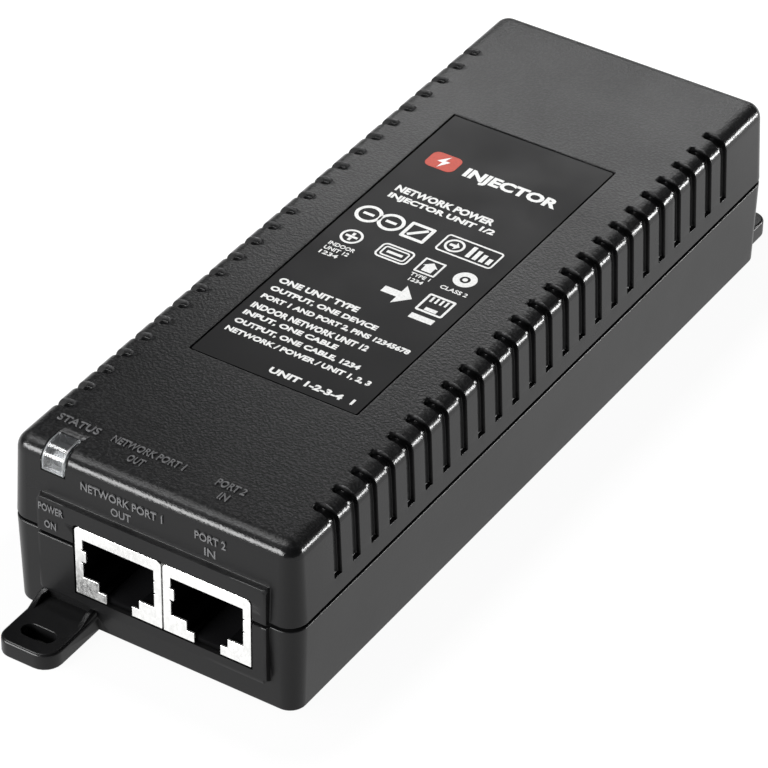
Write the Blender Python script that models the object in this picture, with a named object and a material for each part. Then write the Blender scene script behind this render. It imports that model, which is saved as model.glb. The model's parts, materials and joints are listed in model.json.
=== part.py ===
"""Power-over-Ethernet injector: a two-part case with two network jacks in front and a mains inlet
behind. One board inside carries the switching power supply and the network parts.

Run with: blender --background --python part.py
Sizes are in millimetres, and MM turns them into metres when an object is made.
+Z is up, the jacks face -Y, and the origin is the middle of the case's flat underside."""

import math

import bmesh
import bpy
from mathutils import Matrix, Vector

MM = 0.001
GAP = 0.3

# Case
CASE_WIDTH = 53.0
CASE_LENGTH = 144.0
CASE_HEIGHT = 31.7
WALL = 2.2
PARTING_Z = 16.4
SEAM = 0.6
UPPER_DRAFT = 0.55
LOWER_DRAFT = 0.45
CORNER_RADIUS = 3.3
TOP_RADIUS = 2.7
BOTTOM_RADIUS = 0.4
TONGUE_INSET = 1.25
TONGUE_HEIGHT = 1.6
HALF_WIDTH = CASE_WIDTH / 2
HALF_LENGTH = CASE_LENGTH / 2
CEILING = CASE_HEIGHT - WALL
SEAM_LOW = PARTING_Z - SEAM / 2
SEAM_HIGH = PARTING_Z + SEAM / 2

# Cooling grooves down both long sides
GROOVE_COUNT = 24
GROOVE_PITCH = 5.095
GROOVE_WIDTH = 1.9
GROOVE_DEPTH = 0.9
GROOVE_FIRST_Y = -60.25
GROOVE_FOOT = 20.0
GROOVE_INNER_X = 22.1

# Front panel and jacks
PANEL_PROUD = 0.85
PANEL_SUNK = 0.8
PANEL_X = (-20.4, 21.7)
PANEL_Z = (5.1, 23.4)
JACK_WIDTH = 16.0
JACK_HEIGHT = 13.0
JACK_LENGTH = 21.0
JACK_BOTTOM = 7.3
JACK_CENTRES = {"out": -5.42, "in": 10.88}
JACK_FACE_Y = -HALF_LENGTH - PANEL_PROUD + 0.05
SHIELD_WALL = 0.4
PLUG_DEPTH = 14.0
PLUG_HALF_WIDTH = 6.6
PLUG_TOP = 10.85
PLUG_FLOOR = 3.5
STEP_HALF_WIDTH = 3.75
STEP_FLOOR = 1.75
LATCH_HALF_WIDTH = 2.4
LATCH_FLOOR = 1.1
CONTACT_COUNT = 8
CONTACT_PITCH = 1.02
CONTACT_WIRE = 0.4

# Mains inlet
INLET_WIDTH = 27.0
INLET_HEIGHT = 19.8
INLET_LENGTH = 22.0
INLET_CENTRE_Z = 17.35
INLET_FACE_Y = HALF_LENGTH + 0.6
RECESS_WIDTH = 24.0
RECESS_HEIGHT = 16.0
RECESS_DEPTH = 16.4
INLET_CHAMFER = 4.0
PIN_WIDTH = 2.0
PIN_HEIGHT = 4.0
PIN_SPACING = 14.0
PIN_OFFSET = 2.0
PIN_LENGTH = 24.0

# Mounting ears
EAR_THICKNESS = 3.0
SLOT_LENGTH = 6.0
SLOT_WIDTH = 2.9
FRONT_EAR_X = (-20.8, -10.4)
FRONT_EAR_Y = -84.3
FRONT_SLOT_Y = -79.95
REAR_EAR_X = (13.6, 24.0)
REAR_EAR_Y = 79.0
REAR_SLOT_Y = 75.0
GUSSET_WIDTH = 1.0
GUSSET_TOP = 5.4
GUSSET_REACH = 4.3
GUSSET_INSET = 0.6

# Board, screws and label
BOARD_TOP = 7.0
BOARD_THICKNESS = 1.6
BOARD_WIDTH = 46.6
BOARD_LENGTH = 138.0
PART_BASE = BOARD_TOP + GAP
POST_RADIUS = 3.2
SCREW_PLACES = ((-20.0, -47.0), (20.0, -47.0), (-20.0, 63.5), (20.0, 63.5))
SCREW_TOP = 24.5
HEAD_RADIUS = 2.6
SHANK_RADIUS = 1.15
STANDOFF_PLACES = ((-9.0, -56.0), (9.0, -56.0), (-12.0, 0.0), (12.0, 0.0), (0.0, 36.0), (0.0, 60.0))
LABEL_X = (-15.5, 15.2)
LABEL_Y = (-38.3, 39.0)
LABEL_THICKNESS = 0.4
LABEL_RECESS = 0.8
PIPE_X = (-20.0, -16.0)
PIPE_FRONT_Z = 27.7
PIPE_REAR_Y = -66.9

ROUND_SIDES = 20

MATERIALS = {
    "case_plastic": ((0.030, 0.030, 0.032), 0.45, 0.0),
    "label_film": ((0.012, 0.012, 0.014), 0.55, 0.0),
    "clear_plastic": ((0.75, 0.77, 0.80), 0.12, 0.0),
    "tinned_steel": ((0.78, 0.78, 0.80), 0.28, 1.0),
    "jack_plastic": ((0.015, 0.015, 0.017), 0.50, 0.0),
    "gold_plate": ((0.83, 0.62, 0.24), 0.25, 1.0),
    "screw_steel": ((0.45, 0.45, 0.47), 0.35, 1.0),
    "board_laminate": ((0.02, 0.16, 0.07), 0.45, 0.0),
    "led_lens": ((0.25, 0.75, 0.30), 0.20, 0.0),
    "nickel_pin": ((0.68, 0.66, 0.62), 0.25, 1.0),
    "component_black": ((0.03, 0.03, 0.03), 0.50, 0.0),
    "capacitor_yellow": ((0.75, 0.55, 0.10), 0.40, 0.0),
    "capacitor_blue": ((0.08, 0.22, 0.55), 0.35, 0.0),
    "capacitor_sleeve": ((0.05, 0.06, 0.09), 0.35, 0.0),
    "ferrite": ((0.09, 0.09, 0.10), 0.70, 0.0),
    "copper_wire": ((0.72, 0.36, 0.18), 0.35, 1.0),
    "winding_tape": ((0.80, 0.66, 0.15), 0.45, 0.0),
    "aluminium": ((0.70, 0.71, 0.73), 0.40, 1.0),
}


def clear_scene():
    for obj in list(bpy.data.objects):
        bpy.data.objects.remove(obj)


def material(name):
    """The named material, made the first time that it is asked for."""
    found = bpy.data.materials.get(name)
    if found:
        return found
    colour, roughness, metallic = MATERIALS[name]
    made = bpy.data.materials.new(name)
    made.use_nodes = True
    shader = made.node_tree.nodes["Principled BSDF"]
    shader.inputs["Base Color"].default_value = (*colour, 1.0)
    shader.inputs["Roughness"].default_value = roughness
    shader.inputs["Metallic"].default_value = metallic
    made.diffuse_color = (*colour, 1.0)
    return made


def add_object(name, bm, material_name=None, place=(0.0, 0.0, 0.0)):
    """An object at place (mm) from a bmesh in mm. One with no material is a helper that isn't rendered."""
    bmesh.ops.recalc_face_normals(bm, faces=bm.faces)
    mesh = bpy.data.meshes.new(name)
    bm.to_mesh(mesh)
    bm.free()
    mesh.transform(Matrix.Scale(MM, 4))
    obj = bpy.data.objects.new(name, mesh)
    obj.location = Vector(place) * MM
    bpy.context.scene.collection.objects.link(obj)
    if material_name:
        mesh.materials.append(material(material_name))
        mesh.shade_smooth()
        mesh.set_sharp_from_angle(angle=math.radians(30))
    else:
        obj.hide_render = True
        obj.display_type = "WIRE"
    return obj


def combine(target, operation, helper):
    modifier = target.modifiers.new(helper.name, "BOOLEAN")
    modifier.operation = operation
    modifier.object = helper
    return target


def loft(bm, rings):
    """A closed solid through rings of equally many points, with a flat cap at each end."""
    made = [[bm.verts.new(point) for point in ring] for ring in rings]
    for lower, upper in zip(made, made[1:]):
        for i, vert in enumerate(lower):
            j = (i + 1) % len(lower)
            bm.faces.new((vert, lower[j], upper[j], upper[i]))
    bm.faces.new(made[0])
    bm.faces.new(made[-1])


def prism(bm, outline, low, high, axis="Z"):
    """The outline drawn out from low to high along an axis. Its two values are the other axes in X, Y, Z order."""
    def point(pair, along):
        if axis == "X":
            return (along, *pair)
        if axis == "Y":
            return (pair[0], along, pair[1])
        return (*pair, along)

    loft(bm, [[point(pair, low) for pair in outline], [point(pair, high) for pair in outline]])


def rectangle(low_x, high_x, low_y, high_y):
    return [(low_x, low_y), (high_x, low_y), (high_x, high_y), (low_x, high_y)]


def box(bm, low, high):
    prism(bm, rectangle(low[0], high[0], low[1], high[1]), low[2], high[2])


def arc(centre, radius, start, end, steps):
    """Points on an arc from start to end, in degrees."""
    angles = [math.radians(start + (end - start) * i / steps) for i in range(steps + 1)]
    return [(centre[0] + radius * math.cos(a), centre[1] + radius * math.sin(a)) for a in angles]


def circle(centre, radius, sides=ROUND_SIDES):
    return arc(centre, radius, 0, 360 * (sides - 1) / sides, sides - 1)


def rounded_rectangle(low, high, radii, steps=4):
    """Corners run anticlockwise from the lower left, each with its own radius."""
    outline = []
    corners = ((low[0], low[1]), (high[0], low[1]), (high[0], high[1]), (low[0], high[1]))
    inward = ((1, 1), (-1, 1), (-1, -1), (1, -1))
    for i, (corner, turn, radius) in enumerate(zip(corners, inward, radii)):
        centre = (corner[0] + turn[0] * radius, corner[1] + turn[1] * radius)
        outline += arc(centre, radius, 180 + 90 * i, 270 + 90 * i, steps)
    return outline


def turned(bm, profile, sides=ROUND_SIDES):
    """A solid of revolution about Z from (radius, z) pairs, with flat ends."""
    loft(bm, [[(x, y, z) for x, y in circle((0, 0), radius, sides)] for radius, z in profile])


def case_inset(z):
    """How far the outer wall has drawn in at height z, because both shells taper away from the seam."""
    if z >= PARTING_Z:
        share = (z - PARTING_Z) / (CASE_HEIGHT - TOP_RADIUS - PARTING_Z)
        return UPPER_DRAFT * min(1.0, share)
    return LOWER_DRAFT * min(1.0, (PARTING_Z - z) / (PARTING_Z - BOTTOM_RADIUS))


def case_ring(inset, z):
    """The case's outline at height z, drawn in by inset."""
    x = HALF_WIDTH - inset
    y = HALF_LENGTH - inset
    radius = max(CORNER_RADIUS - inset, 0.5)
    return [(*pair, z) for pair in rounded_rectangle((-x, -y), (x, y), (radius,) * 4)]


def edge_rings(radius, z_edge, draft, upward, steps=4):
    """Rings round a rounded rim: from the wall to the flat face at z_edge."""
    rings = []
    for i in range(steps + 1):
        turn = math.radians(90 * i / steps)
        drop = radius * (1 - math.sin(turn))
        z = z_edge - drop if upward else z_edge + drop
        rings.append(case_ring(draft + radius * (1 - math.cos(turn)), z))
    return rings


def upper_shell():
    """The lid: its skirt is thin enough at the foot to cover the lower shell's tongue."""
    rebate = SEAM_LOW + TONGUE_HEIGHT + 0.5
    skirt = TONGUE_INSET - GAP
    bm = bmesh.new()
    rings = [
        case_ring(case_inset(CEILING) + WALL, CEILING),
        case_ring(case_inset(rebate) + WALL, rebate),
        case_ring(case_inset(rebate) + skirt, rebate),
        case_ring(case_inset(SEAM_HIGH) + skirt, SEAM_HIGH),
        case_ring(case_inset(SEAM_HIGH), SEAM_HIGH),
    ]
    loft(bm, rings + edge_rings(TOP_RADIUS, CASE_HEIGHT, UPPER_DRAFT, upward=True))
    return add_object("upper_housing", bm, "case_plastic")


def lower_shell():
    """The tray, with a tongue round its rim."""
    tongue_top = SEAM_LOW + TONGUE_HEIGHT
    bm = bmesh.new()
    rings = edge_rings(BOTTOM_RADIUS, 0.0, LOWER_DRAFT, upward=False, steps=2)[::-1]
    rings += [
        case_ring(case_inset(SEAM_LOW), SEAM_LOW),
        case_ring(TONGUE_INSET, SEAM_LOW),
        case_ring(TONGUE_INSET, tongue_top),
        case_ring(WALL, tongue_top),
        case_ring(WALL, SEAM_LOW),
        case_ring(case_inset(WALL) + WALL, WALL),
    ]
    loft(bm, rings)
    return add_object("lower_housing", bm, "case_plastic")


def panel(name, low_z, high_z):
    """A share of the raised field round the jacks, sunk into the front wall."""
    bm = bmesh.new()
    low = (PANEL_X[0], -HALF_LENGTH - PANEL_PROUD, low_z)
    high = (PANEL_X[1], -HALF_LENGTH + PANEL_SUNK, high_z)
    box(bm, low, high)
    return add_object(name, bm)


def jack_window():
    """The opening that both jacks share, cut through both shells."""
    bm = bmesh.new()
    low_x = JACK_CENTRES["out"] - JACK_WIDTH / 2 - GAP
    high_x = JACK_CENTRES["in"] + JACK_WIDTH / 2 + GAP
    low = (low_x, -HALF_LENGTH - 2, BOARD_TOP)
    high = (high_x, -HALF_LENGTH + 5, JACK_BOTTOM + JACK_HEIGHT + GAP)
    box(bm, low, high)
    return add_object("jack_window_cutter", bm)


def inlet_outline(width, height, chamfer):
    """The inlet's face: a rectangle with its two upper corners cut off."""
    x = width / 2
    low = INLET_CENTRE_Z - height / 2
    high = INLET_CENTRE_Z + height / 2
    return [(-x, low), (x, low), (x, high - chamfer), (x - chamfer, high), (chamfer - x, high), (-x, high - chamfer)]


def inlet_window():
    bm = bmesh.new()
    outline = inlet_outline(INLET_WIDTH + 2 * GAP, INLET_HEIGHT + 2 * GAP, INLET_CHAMFER)
    prism(bm, outline, HALF_LENGTH - 5, HALF_LENGTH + 2, axis="Y")
    return add_object("inlet_window_cutter", bm)


def groove_section():
    """A groove's section as (x, z): it follows the shell's side and rounded shoulder, GROOVE_DEPTH inside it."""
    wall_x = HALF_WIDTH - UPPER_DRAFT
    centre = (wall_x - TOP_RADIUS, CASE_HEIGHT - TOP_RADIUS)
    foot_x = HALF_WIDTH - case_inset(GROOVE_FOOT) - GROOVE_DEPTH
    section = [(HALF_WIDTH + 1, GROOVE_FOOT), (foot_x, GROOVE_FOOT)]
    section += arc(centre, TOP_RADIUS - GROOVE_DEPTH, 0, 90, 4)
    section += [(GROOVE_INNER_X, CASE_HEIGHT - GROOVE_DEPTH), (GROOVE_INNER_X - 0.4, CASE_HEIGHT + 1)]
    section.append((HALF_WIDTH + 1, CASE_HEIGHT + 1))
    return section


def groove_cutter():
    bm = bmesh.new()
    for side in (-1, 1):
        outline = [(side * x, z) for x, z in groove_section()]
        for i in range(GROOVE_COUNT):
            y = GROOVE_FIRST_Y + i * GROOVE_PITCH
            prism(bm, outline, y - GROOVE_WIDTH / 2, y + GROOVE_WIDTH / 2, axis="Y")
    return add_object("groove_cutter", bm)


def label_recess():
    bm = bmesh.new()
    low = (LABEL_X[0] - GAP, LABEL_Y[0] - GAP, CASE_HEIGHT - LABEL_RECESS)
    high = (LABEL_X[1] + GAP, LABEL_Y[1] + GAP, CASE_HEIGHT + 2)
    box(bm, low, high)
    return add_object("label_recess_cutter", bm)


def pipe_window():
    bm = bmesh.new()
    low = (PIPE_X[0] - GAP, -HALF_LENGTH - 2, PIPE_FRONT_Z - GAP)
    high = (PIPE_X[1] + GAP, PIPE_REAR_Y + GAP, CASE_HEIGHT + 2)
    box(bm, low, high)
    return add_object("pipe_window_cutter", bm)


def posts(name, places, radius, low_z, high_z, sides=ROUND_SIDES):
    bm = bmesh.new()
    for place in places:
        prism(bm, circle(place, radius, sides), low_z, high_z)
    return add_object(name, bm)


def ears():
    """Two slotted ears level with the underside, one at the front left and one at the rear right."""
    bm = bmesh.new()
    front = rounded_rectangle(
        (FRONT_EAR_X[0], FRONT_EAR_Y), (FRONT_EAR_X[1], -HALF_LENGTH + 2), (2.2, 3.0, 0.2, 0.2))
    rear = rounded_rectangle(
        (REAR_EAR_X[0], HALF_LENGTH - 2), (REAR_EAR_X[1], REAR_EAR_Y), (0.2, 0.2, 2.2, 3.0))
    for outline in (front, rear):
        prism(bm, outline, 0.0, EAR_THICKNESS)
    return add_object("ear_addition", bm)


def ear_slots():
    bm = bmesh.new()
    for ear_x, slot_y in ((FRONT_EAR_X, FRONT_SLOT_Y), (REAR_EAR_X, REAR_SLOT_Y)):
        x = sum(ear_x) / 2
        low = (x - SLOT_LENGTH / 2, slot_y - SLOT_WIDTH / 2)
        high = (x + SLOT_LENGTH / 2, slot_y + SLOT_WIDTH / 2)
        prism(bm, rounded_rectangle(low, high, (SLOT_WIDTH / 2 - 0.05,) * 4), -1.0, EAR_THICKNESS + 1)
    return add_object("ear_slot_cutter", bm)


def gussets():
    """A small web at each side of an ear, from the ear's top up to the end wall."""
    bm = bmesh.new()
    for ear_x, end, reach in ((FRONT_EAR_X, -1, GUSSET_REACH), (REAR_EAR_X, 1, GUSSET_REACH / 2)):
        wall = end * HALF_LENGTH
        outline = [
            (wall - end * 2, EAR_THICKNESS - 1),
            (wall + end * (reach - 0.4), EAR_THICKNESS - 1),
            (wall + end * (reach - 0.4), EAR_THICKNESS + 0.1),
            (wall, GUSSET_TOP),
            (wall - end * 2, GUSSET_TOP),
        ]
        for x in (ear_x[0] + GUSSET_INSET, ear_x[1] - GUSSET_INSET - GUSSET_WIDTH):
            prism(bm, outline, x, x + GUSSET_WIDTH, axis="X")
    return add_object("gusset_addition", bm)


def screw_holes():
    """Clearance holes with sunk seats for the four screw heads."""
    bm = bmesh.new()
    for x, y in SCREW_PLACES:
        rings = []
        for radius, z in ((HEAD_RADIUS + GAP, -1), (HEAD_RADIUS + GAP, 2.2), (SHANK_RADIUS + GAP, 2.2),
                          (SHANK_RADIUS + GAP, PARTING_Z)):
            rings.append([(*pair, z) for pair in circle((x, y), radius)])
        loft(bm, rings)
    return add_object("screw_hole_cutter", bm)


def make_housings(window, inlet):
    upper = upper_shell()
    combine(upper, "UNION", panel("upper_panel_addition", SEAM_HIGH, PANEL_Z[1]))
    combine(upper, "UNION", posts("upper_post_addition", SCREW_PLACES, POST_RADIUS, SEAM_LOW, CEILING + 0.5))
    combine(upper, "DIFFERENCE", window)
    combine(upper, "DIFFERENCE", inlet)
    combine(upper, "DIFFERENCE", groove_cutter())
    combine(upper, "DIFFERENCE", label_recess())
    combine(upper, "DIFFERENCE", pipe_window())
    combine(upper, "DIFFERENCE", posts(
        "thread_hole_cutter", SCREW_PLACES, SHANK_RADIUS + GAP, PARTING_Z - 4, SCREW_TOP + 0.5))
    lower = lower_shell()
    combine(lower, "UNION", panel("lower_panel_addition", PANEL_Z[0], SEAM_LOW))
    combine(lower, "UNION", ears())
    combine(lower, "UNION", gussets())
    combine(lower, "UNION", posts("lower_post_addition", SCREW_PLACES, POST_RADIUS, 1.0, SEAM_LOW - GAP))
    combine(lower, "UNION", posts(
        "standoff_addition", STANDOFF_PLACES, 2.0, 1.0, BOARD_TOP - BOARD_THICKNESS - GAP, 12))
    combine(lower, "DIFFERENCE", window)
    combine(lower, "DIFFERENCE", inlet)
    combine(lower, "DIFFERENCE", ear_slots())
    combine(lower, "DIFFERENCE", screw_holes())


def make_screws():
    profile = [(HEAD_RADIUS - 0.3, 0.3), (HEAD_RADIUS, 0.6), (HEAD_RADIUS, 1.9), (SHANK_RADIUS, 1.9),
               (SHANK_RADIUS, SCREW_TOP - 1), (0.4, SCREW_TOP)]
    for number, (x, y) in enumerate(SCREW_PLACES, start=1):
        bm = bmesh.new()
        turned(bm, profile, 16)
        add_object(f"housing_screw_{number}", bm, "screw_steel", (x, y, 0))


def make_label():
    bm = bmesh.new()
    low = (LABEL_X[0], LABEL_Y[0])
    high = (LABEL_X[1], LABEL_Y[1])
    top = CASE_HEIGHT - 0.1
    prism(bm, rounded_rectangle(low, high, (0.8,) * 4, 2), top - LABEL_THICKNESS, top)
    add_object("rating_label", bm, "label_film")


def make_light_pipe():
    """A clear lens bent over the front shoulder, with a stem that carries the lamp's light up to it."""
    front = 0.05
    wall_y = -HALF_LENGTH + UPPER_DRAFT + front
    radius = TOP_RADIUS
    shoulder = arc((wall_y + radius, CASE_HEIGHT - radius - front), radius, 180, 90, 5)
    stem = (-HALF_LENGTH + 3.2, -HALF_LENGTH + 5.0)
    section = [(wall_y, PIPE_FRONT_Z), *shoulder, (PIPE_REAR_Y, CASE_HEIGHT - front), (PIPE_REAR_Y, 29.2)]
    section += [(stem[1], 29.2), (stem[1], 10.6), (stem[0], 10.6), (stem[0], PIPE_FRONT_Z)]
    bm = bmesh.new()
    prism(bm, section, PIPE_X[0], PIPE_X[1], axis="X")
    add_object("led_light_pipe", bm, "clear_plastic")


def plug_outline(margin, floor):
    """The opening for a plug: a wide part, a narrower step, and a slot for the latch that ends at floor."""
    top = PLUG_TOP + margin
    widths = (PLUG_HALF_WIDTH + margin, STEP_HALF_WIDTH + margin, LATCH_HALF_WIDTH + margin)
    right = [(widths[2], floor), (widths[2], STEP_FLOOR - margin), (widths[1], STEP_FLOOR - margin),
             (widths[1], PLUG_FLOOR - margin), (widths[0], PLUG_FLOOR - margin), (widths[0], top)]
    return right + [(-x, z) for x, z in reversed(right)]


def make_jack_shield(name, centre):
    """A folded steel can: a face with the plug opening, two sides, a roof and a back, open underneath."""
    x = JACK_WIDTH / 2
    bm = bmesh.new()
    face = rounded_rectangle((-x, 0), (x, JACK_HEIGHT), (0.05, 0.05, 0.6, 0.6), 2)
    prism(bm, face, 0, JACK_LENGTH, axis="Y")
    shield = add_object(name, bm, "tinned_steel", (centre, JACK_FACE_Y, JACK_BOTTOM))
    bm = bmesh.new()
    low = (-x + SHIELD_WALL, SHIELD_WALL, -1)
    high = (x - SHIELD_WALL, JACK_LENGTH - SHIELD_WALL, JACK_HEIGHT - SHIELD_WALL)
    box(bm, low, high)
    combine(shield, "DIFFERENCE", add_object(name + "_hollow_cutter", bm, place=(centre, JACK_FACE_Y, JACK_BOTTOM)))
    bm = bmesh.new()
    prism(bm, plug_outline(0.0, -1.0), -1, SHIELD_WALL + 0.5, axis="Y")
    combine(shield, "DIFFERENCE", add_object(name + "_face_cutter", bm, place=(centre, JACK_FACE_Y, JACK_BOTTOM)))


def make_jack_body(name, centre):
    """The moulded insert inside the shield, with the cavity that takes the plug."""
    margin = SHIELD_WALL + GAP
    x = JACK_WIDTH / 2 - margin
    bm = bmesh.new()
    box(bm, (-x, margin, 0), (x, JACK_LENGTH - margin, JACK_HEIGHT - margin))
    body = add_object(name, bm, "jack_plastic", (centre, JACK_FACE_Y, JACK_BOTTOM))
    bm = bmesh.new()
    prism(bm, plug_outline(0.25, LATCH_FLOOR), -1, PLUG_DEPTH + margin, axis="Y")
    combine(body, "DIFFERENCE", add_object(name + "_plug_cutter", bm, place=(centre, JACK_FACE_Y, JACK_BOTTOM)))


def make_jack_contacts(name, centre):
    """Eight spring wires in a row, falling towards the back, joined by the bar that holds them."""
    bar = (PLUG_DEPTH - 1.2, PLUG_DEPTH - 0.2)
    tip = 3.2
    reach = CONTACT_COUNT * CONTACT_PITCH / 2
    outline = [(reach, bar[1]), (-reach, bar[1])]
    for i in range(CONTACT_COUNT):
        x = (i - (CONTACT_COUNT - 1) / 2) * CONTACT_PITCH
        half = CONTACT_WIRE / 2
        outline += [(x - half, bar[0]), (x - half, tip), (x + half, tip), (x + half, bar[0])]
    top = PLUG_TOP - 0.15
    slope = 1.0 / (bar[1] - tip)
    bm = bmesh.new()
    prism(bm, outline, top - CONTACT_WIRE, top)
    for vert in bm.verts:
        vert.co.z -= slope * (vert.co.y - tip)
    add_object(name, bm, "gold_plate", (centre, JACK_FACE_Y, JACK_BOTTOM))


def pin_centres():
    """Line, neutral and earth as (x, z), with the earth pin above and between the others."""
    return {
        "line": (-PIN_SPACING / 2, INLET_CENTRE_Z - PIN_OFFSET),
        "neutral": (PIN_SPACING / 2, INLET_CENTRE_Z - PIN_OFFSET),
        "earth": (0.0, INLET_CENTRE_Z + PIN_OFFSET),
    }


def pin_outline(centre, margin):
    x = PIN_WIDTH / 2 + margin
    z = PIN_HEIGHT / 2 + margin
    return rectangle(centre[0] - x, centre[0] + x, centre[1] - z, centre[1] + z)


def make_inlet():
    """The moulded inlet with its recess, and three blades through its back wall."""
    bm = bmesh.new()
    rear = INLET_FACE_Y - INLET_LENGTH
    prism(bm, inlet_outline(INLET_WIDTH, INLET_HEIGHT, INLET_CHAMFER), rear, INLET_FACE_Y, axis="Y")
    body = add_object("inlet_body", bm, "component_black")
    bm = bmesh.new()
    floor = INLET_FACE_Y - RECESS_DEPTH
    prism(bm, inlet_outline(RECESS_WIDTH, RECESS_HEIGHT, INLET_CHAMFER - 1), floor, INLET_FACE_Y + 1, axis="Y")
    combine(body, "DIFFERENCE", add_object("inlet_recess_cutter", bm))
    bm = bmesh.new()
    for centre in pin_centres().values():
        prism(bm, pin_outline(centre, GAP), rear - 1, floor + 1, axis="Y")
    combine(body, "DIFFERENCE", add_object("inlet_pin_cutter", bm))
    for name, centre in pin_centres().items():
        bm = bmesh.new()
        tip = INLET_FACE_Y - 0.8
        x, z = PIN_WIDTH / 2, PIN_HEIGHT / 2
        rings = []
        for y, shrink in ((tip - PIN_LENGTH, 0.0), (tip - 1.0, 0.0), (tip, 0.4)):
            outline = rectangle(centre[0] - x + shrink, centre[0] + x - shrink,
                                centre[1] - z + shrink, centre[1] + z - shrink)
            rings.append([(a, y, b) for a, b in outline])
        loft(bm, rings)
        add_object(f"inlet_{name}_pin", bm, "nickel_pin")


def make_board():
    """The laminate, with a bay cut in each edge round every screw post."""
    bm = bmesh.new()
    x = BOARD_WIDTH / 2
    y = BOARD_LENGTH / 2
    outline = rounded_rectangle((-x, -y), (x, y), (2.5,) * 4, 3)
    prism(bm, outline, BOARD_TOP - BOARD_THICKNESS, BOARD_TOP)
    board = add_object("main_board", bm, "board_laminate")
    bm = bmesh.new()
    bay = POST_RADIUS + GAP
    for post_x, post_y in SCREW_PLACES:
        edge = math.copysign(x + 1, post_x)
        inner = post_x - math.copysign(bay, post_x)
        box(bm, (min(edge, inner), post_y - bay, 0), (max(edge, inner), post_y + bay, 10))
    combine(board, "DIFFERENCE", add_object("post_bay_cutter", bm))


def make_block(name, material_name, place, size, chamfer=0.4):
    """A moulded block standing on the board, with its top edges chamfered."""
    x, y = size[0] / 2, size[1] / 2
    rings = []
    for z, inset in ((0, 0), (size[2] - chamfer, 0), (size[2], chamfer)):
        rings.append([(*pair, z) for pair in rectangle(inset - x, x - inset, inset - y, y - inset)])
    bm = bmesh.new()
    loft(bm, rings)
    return add_object(name, bm, material_name, (*place, PART_BASE))


def make_can(name, material_name, place, radius, height):
    """An upright capacitor can with a rolled groove near its foot."""
    bm = bmesh.new()
    turned(bm, [(radius, 0), (radius, 1.4), (radius - 0.4, 1.9), (radius, 2.4), (radius, height - 0.6),
                (radius - 0.6, height)])
    add_object(name, bm, material_name, (*place, PART_BASE))


def make_lying_can(name, material_name, place, radius, length):
    """A capacitor can lying along Y."""
    profile = [(radius - 0.6, 0), (radius, 0.6), (radius, length - 2.6), (radius - 0.5, length - 2.0),
               (radius, length - 1.4), (radius, length)]
    bm = bmesh.new()
    turned(bm, profile)
    can = add_object(name, bm, material_name, (*place, PART_BASE + radius))
    can.rotation_euler = (math.radians(-90), 0, 0)


def make_disc(name, material_name, place, radius, thickness):
    """A coated disc standing on edge, facing along Y."""
    bm = bmesh.new()
    turned(bm, [(radius - 0.9, 0), (radius, 0.9), (radius, thickness - 0.9), (radius - 0.9, thickness)])
    disc = add_object(name, bm, material_name, (*place, PART_BASE + radius))
    disc.rotation_euler = (math.radians(-90), 0, 0)


def make_wound_part(core_name, coil_name, coil_material, place, size, leg):
    """A ferrite frame with a middle leg along Y, and the coil wound round that leg."""
    x, y, height = size[0] / 2, size[1] / 2, size[2]
    yoke = leg * 0.6
    window = (leg / 2, x - yoke)
    mid = height / 2
    bm = bmesh.new()
    box(bm, (-x, -y, mid - leg / 2), (x, y, mid + leg / 2))
    core = add_object(core_name, bm, "ferrite", (*place, PART_BASE))
    bm = bmesh.new()
    for side in (-1, 1):
        low, high = sorted((side * window[0], side * window[1]))
        box(bm, (low, yoke - y, -1), (high, y - yoke, height + 1))
    combine(core, "DIFFERENCE", add_object(core_name + "_window_cutter", bm, place=(*place, PART_BASE)))
    reach = window[1] - GAP
    coil_y = y - yoke - GAP
    bm = bmesh.new()
    rounding = (min(reach, mid) * 0.4,) * 4
    prism(bm, rounded_rectangle((-reach, 0), (reach, height), rounding, 3), -coil_y, coil_y, axis="Y")
    coil = add_object(coil_name, bm, coil_material, (*place, PART_BASE))
    bm = bmesh.new()
    bore = leg / 2 + GAP
    box(bm, (-bore, -y, mid - bore), (bore, y, mid + bore))
    combine(coil, "DIFFERENCE", add_object(coil_name + "_bore_cutter", bm, place=(*place, PART_BASE)))


def make_heatsink(name, place, length, height, fins, side):
    """An upright aluminium plate along Y with short fins on one side."""
    plate = 1.5
    fin_reach = 1.2
    outline = [(0, 0), (plate, 0), (plate, length), (0, length)]
    pitch = length / fins
    tail = []
    for i in range(fins):
        y = length - (i + 0.5) * pitch
        tail += [(0, y + 0.5), (-fin_reach, y + 0.5), (-fin_reach, y - 0.5), (0, y - 0.5)]
    bm = bmesh.new()
    prism(bm, [(side * a, b) for a, b in outline + tail], 0, height)
    add_object(name, bm, "aluminium", (place[0], place[1] - length / 2, PART_BASE))


def make_power_package(name, place):
    """A tabbed power semiconductor: the thick body, with the thinner tab above it."""
    outline = [(-2.2, 0), (2.2, 0), (2.2, 9.5), (-0.9, 9.5), (-0.9, 15.5), (-2.2, 15.5)]
    bm = bmesh.new()
    prism(bm, outline, -5, 5, axis="Y")
    add_object(name, bm, "component_black", (*place, PART_BASE + 3))


def make_ring_choke(name, place, outer, height):
    """A wound ring lying flat on the board."""
    bm = bmesh.new()
    prism(bm, circle((0, 0), outer, 16), 0, height)
    choke = add_object(name, bm, "copper_wire", (*place, PART_BASE))
    bm = bmesh.new()
    prism(bm, circle((0, 0), outer * 0.4, 12), -1, height + 1)
    combine(choke, "DIFFERENCE", add_object(name + "_bore_cutter", bm, place=(*place, PART_BASE)))


def make_status_lamp():
    bm = bmesh.new()
    turned(bm, [(1.35, 0), (1.35, 0.6), (1.25, 0.6), (1.25, 1.9), (0.9, 2.6), (0.3, 2.9)], 12)
    x = sum(PIPE_X) / 2
    add_object("status_led", bm, "led_lens", (x, -HALF_LENGTH + 4.1, PART_BASE))


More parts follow.
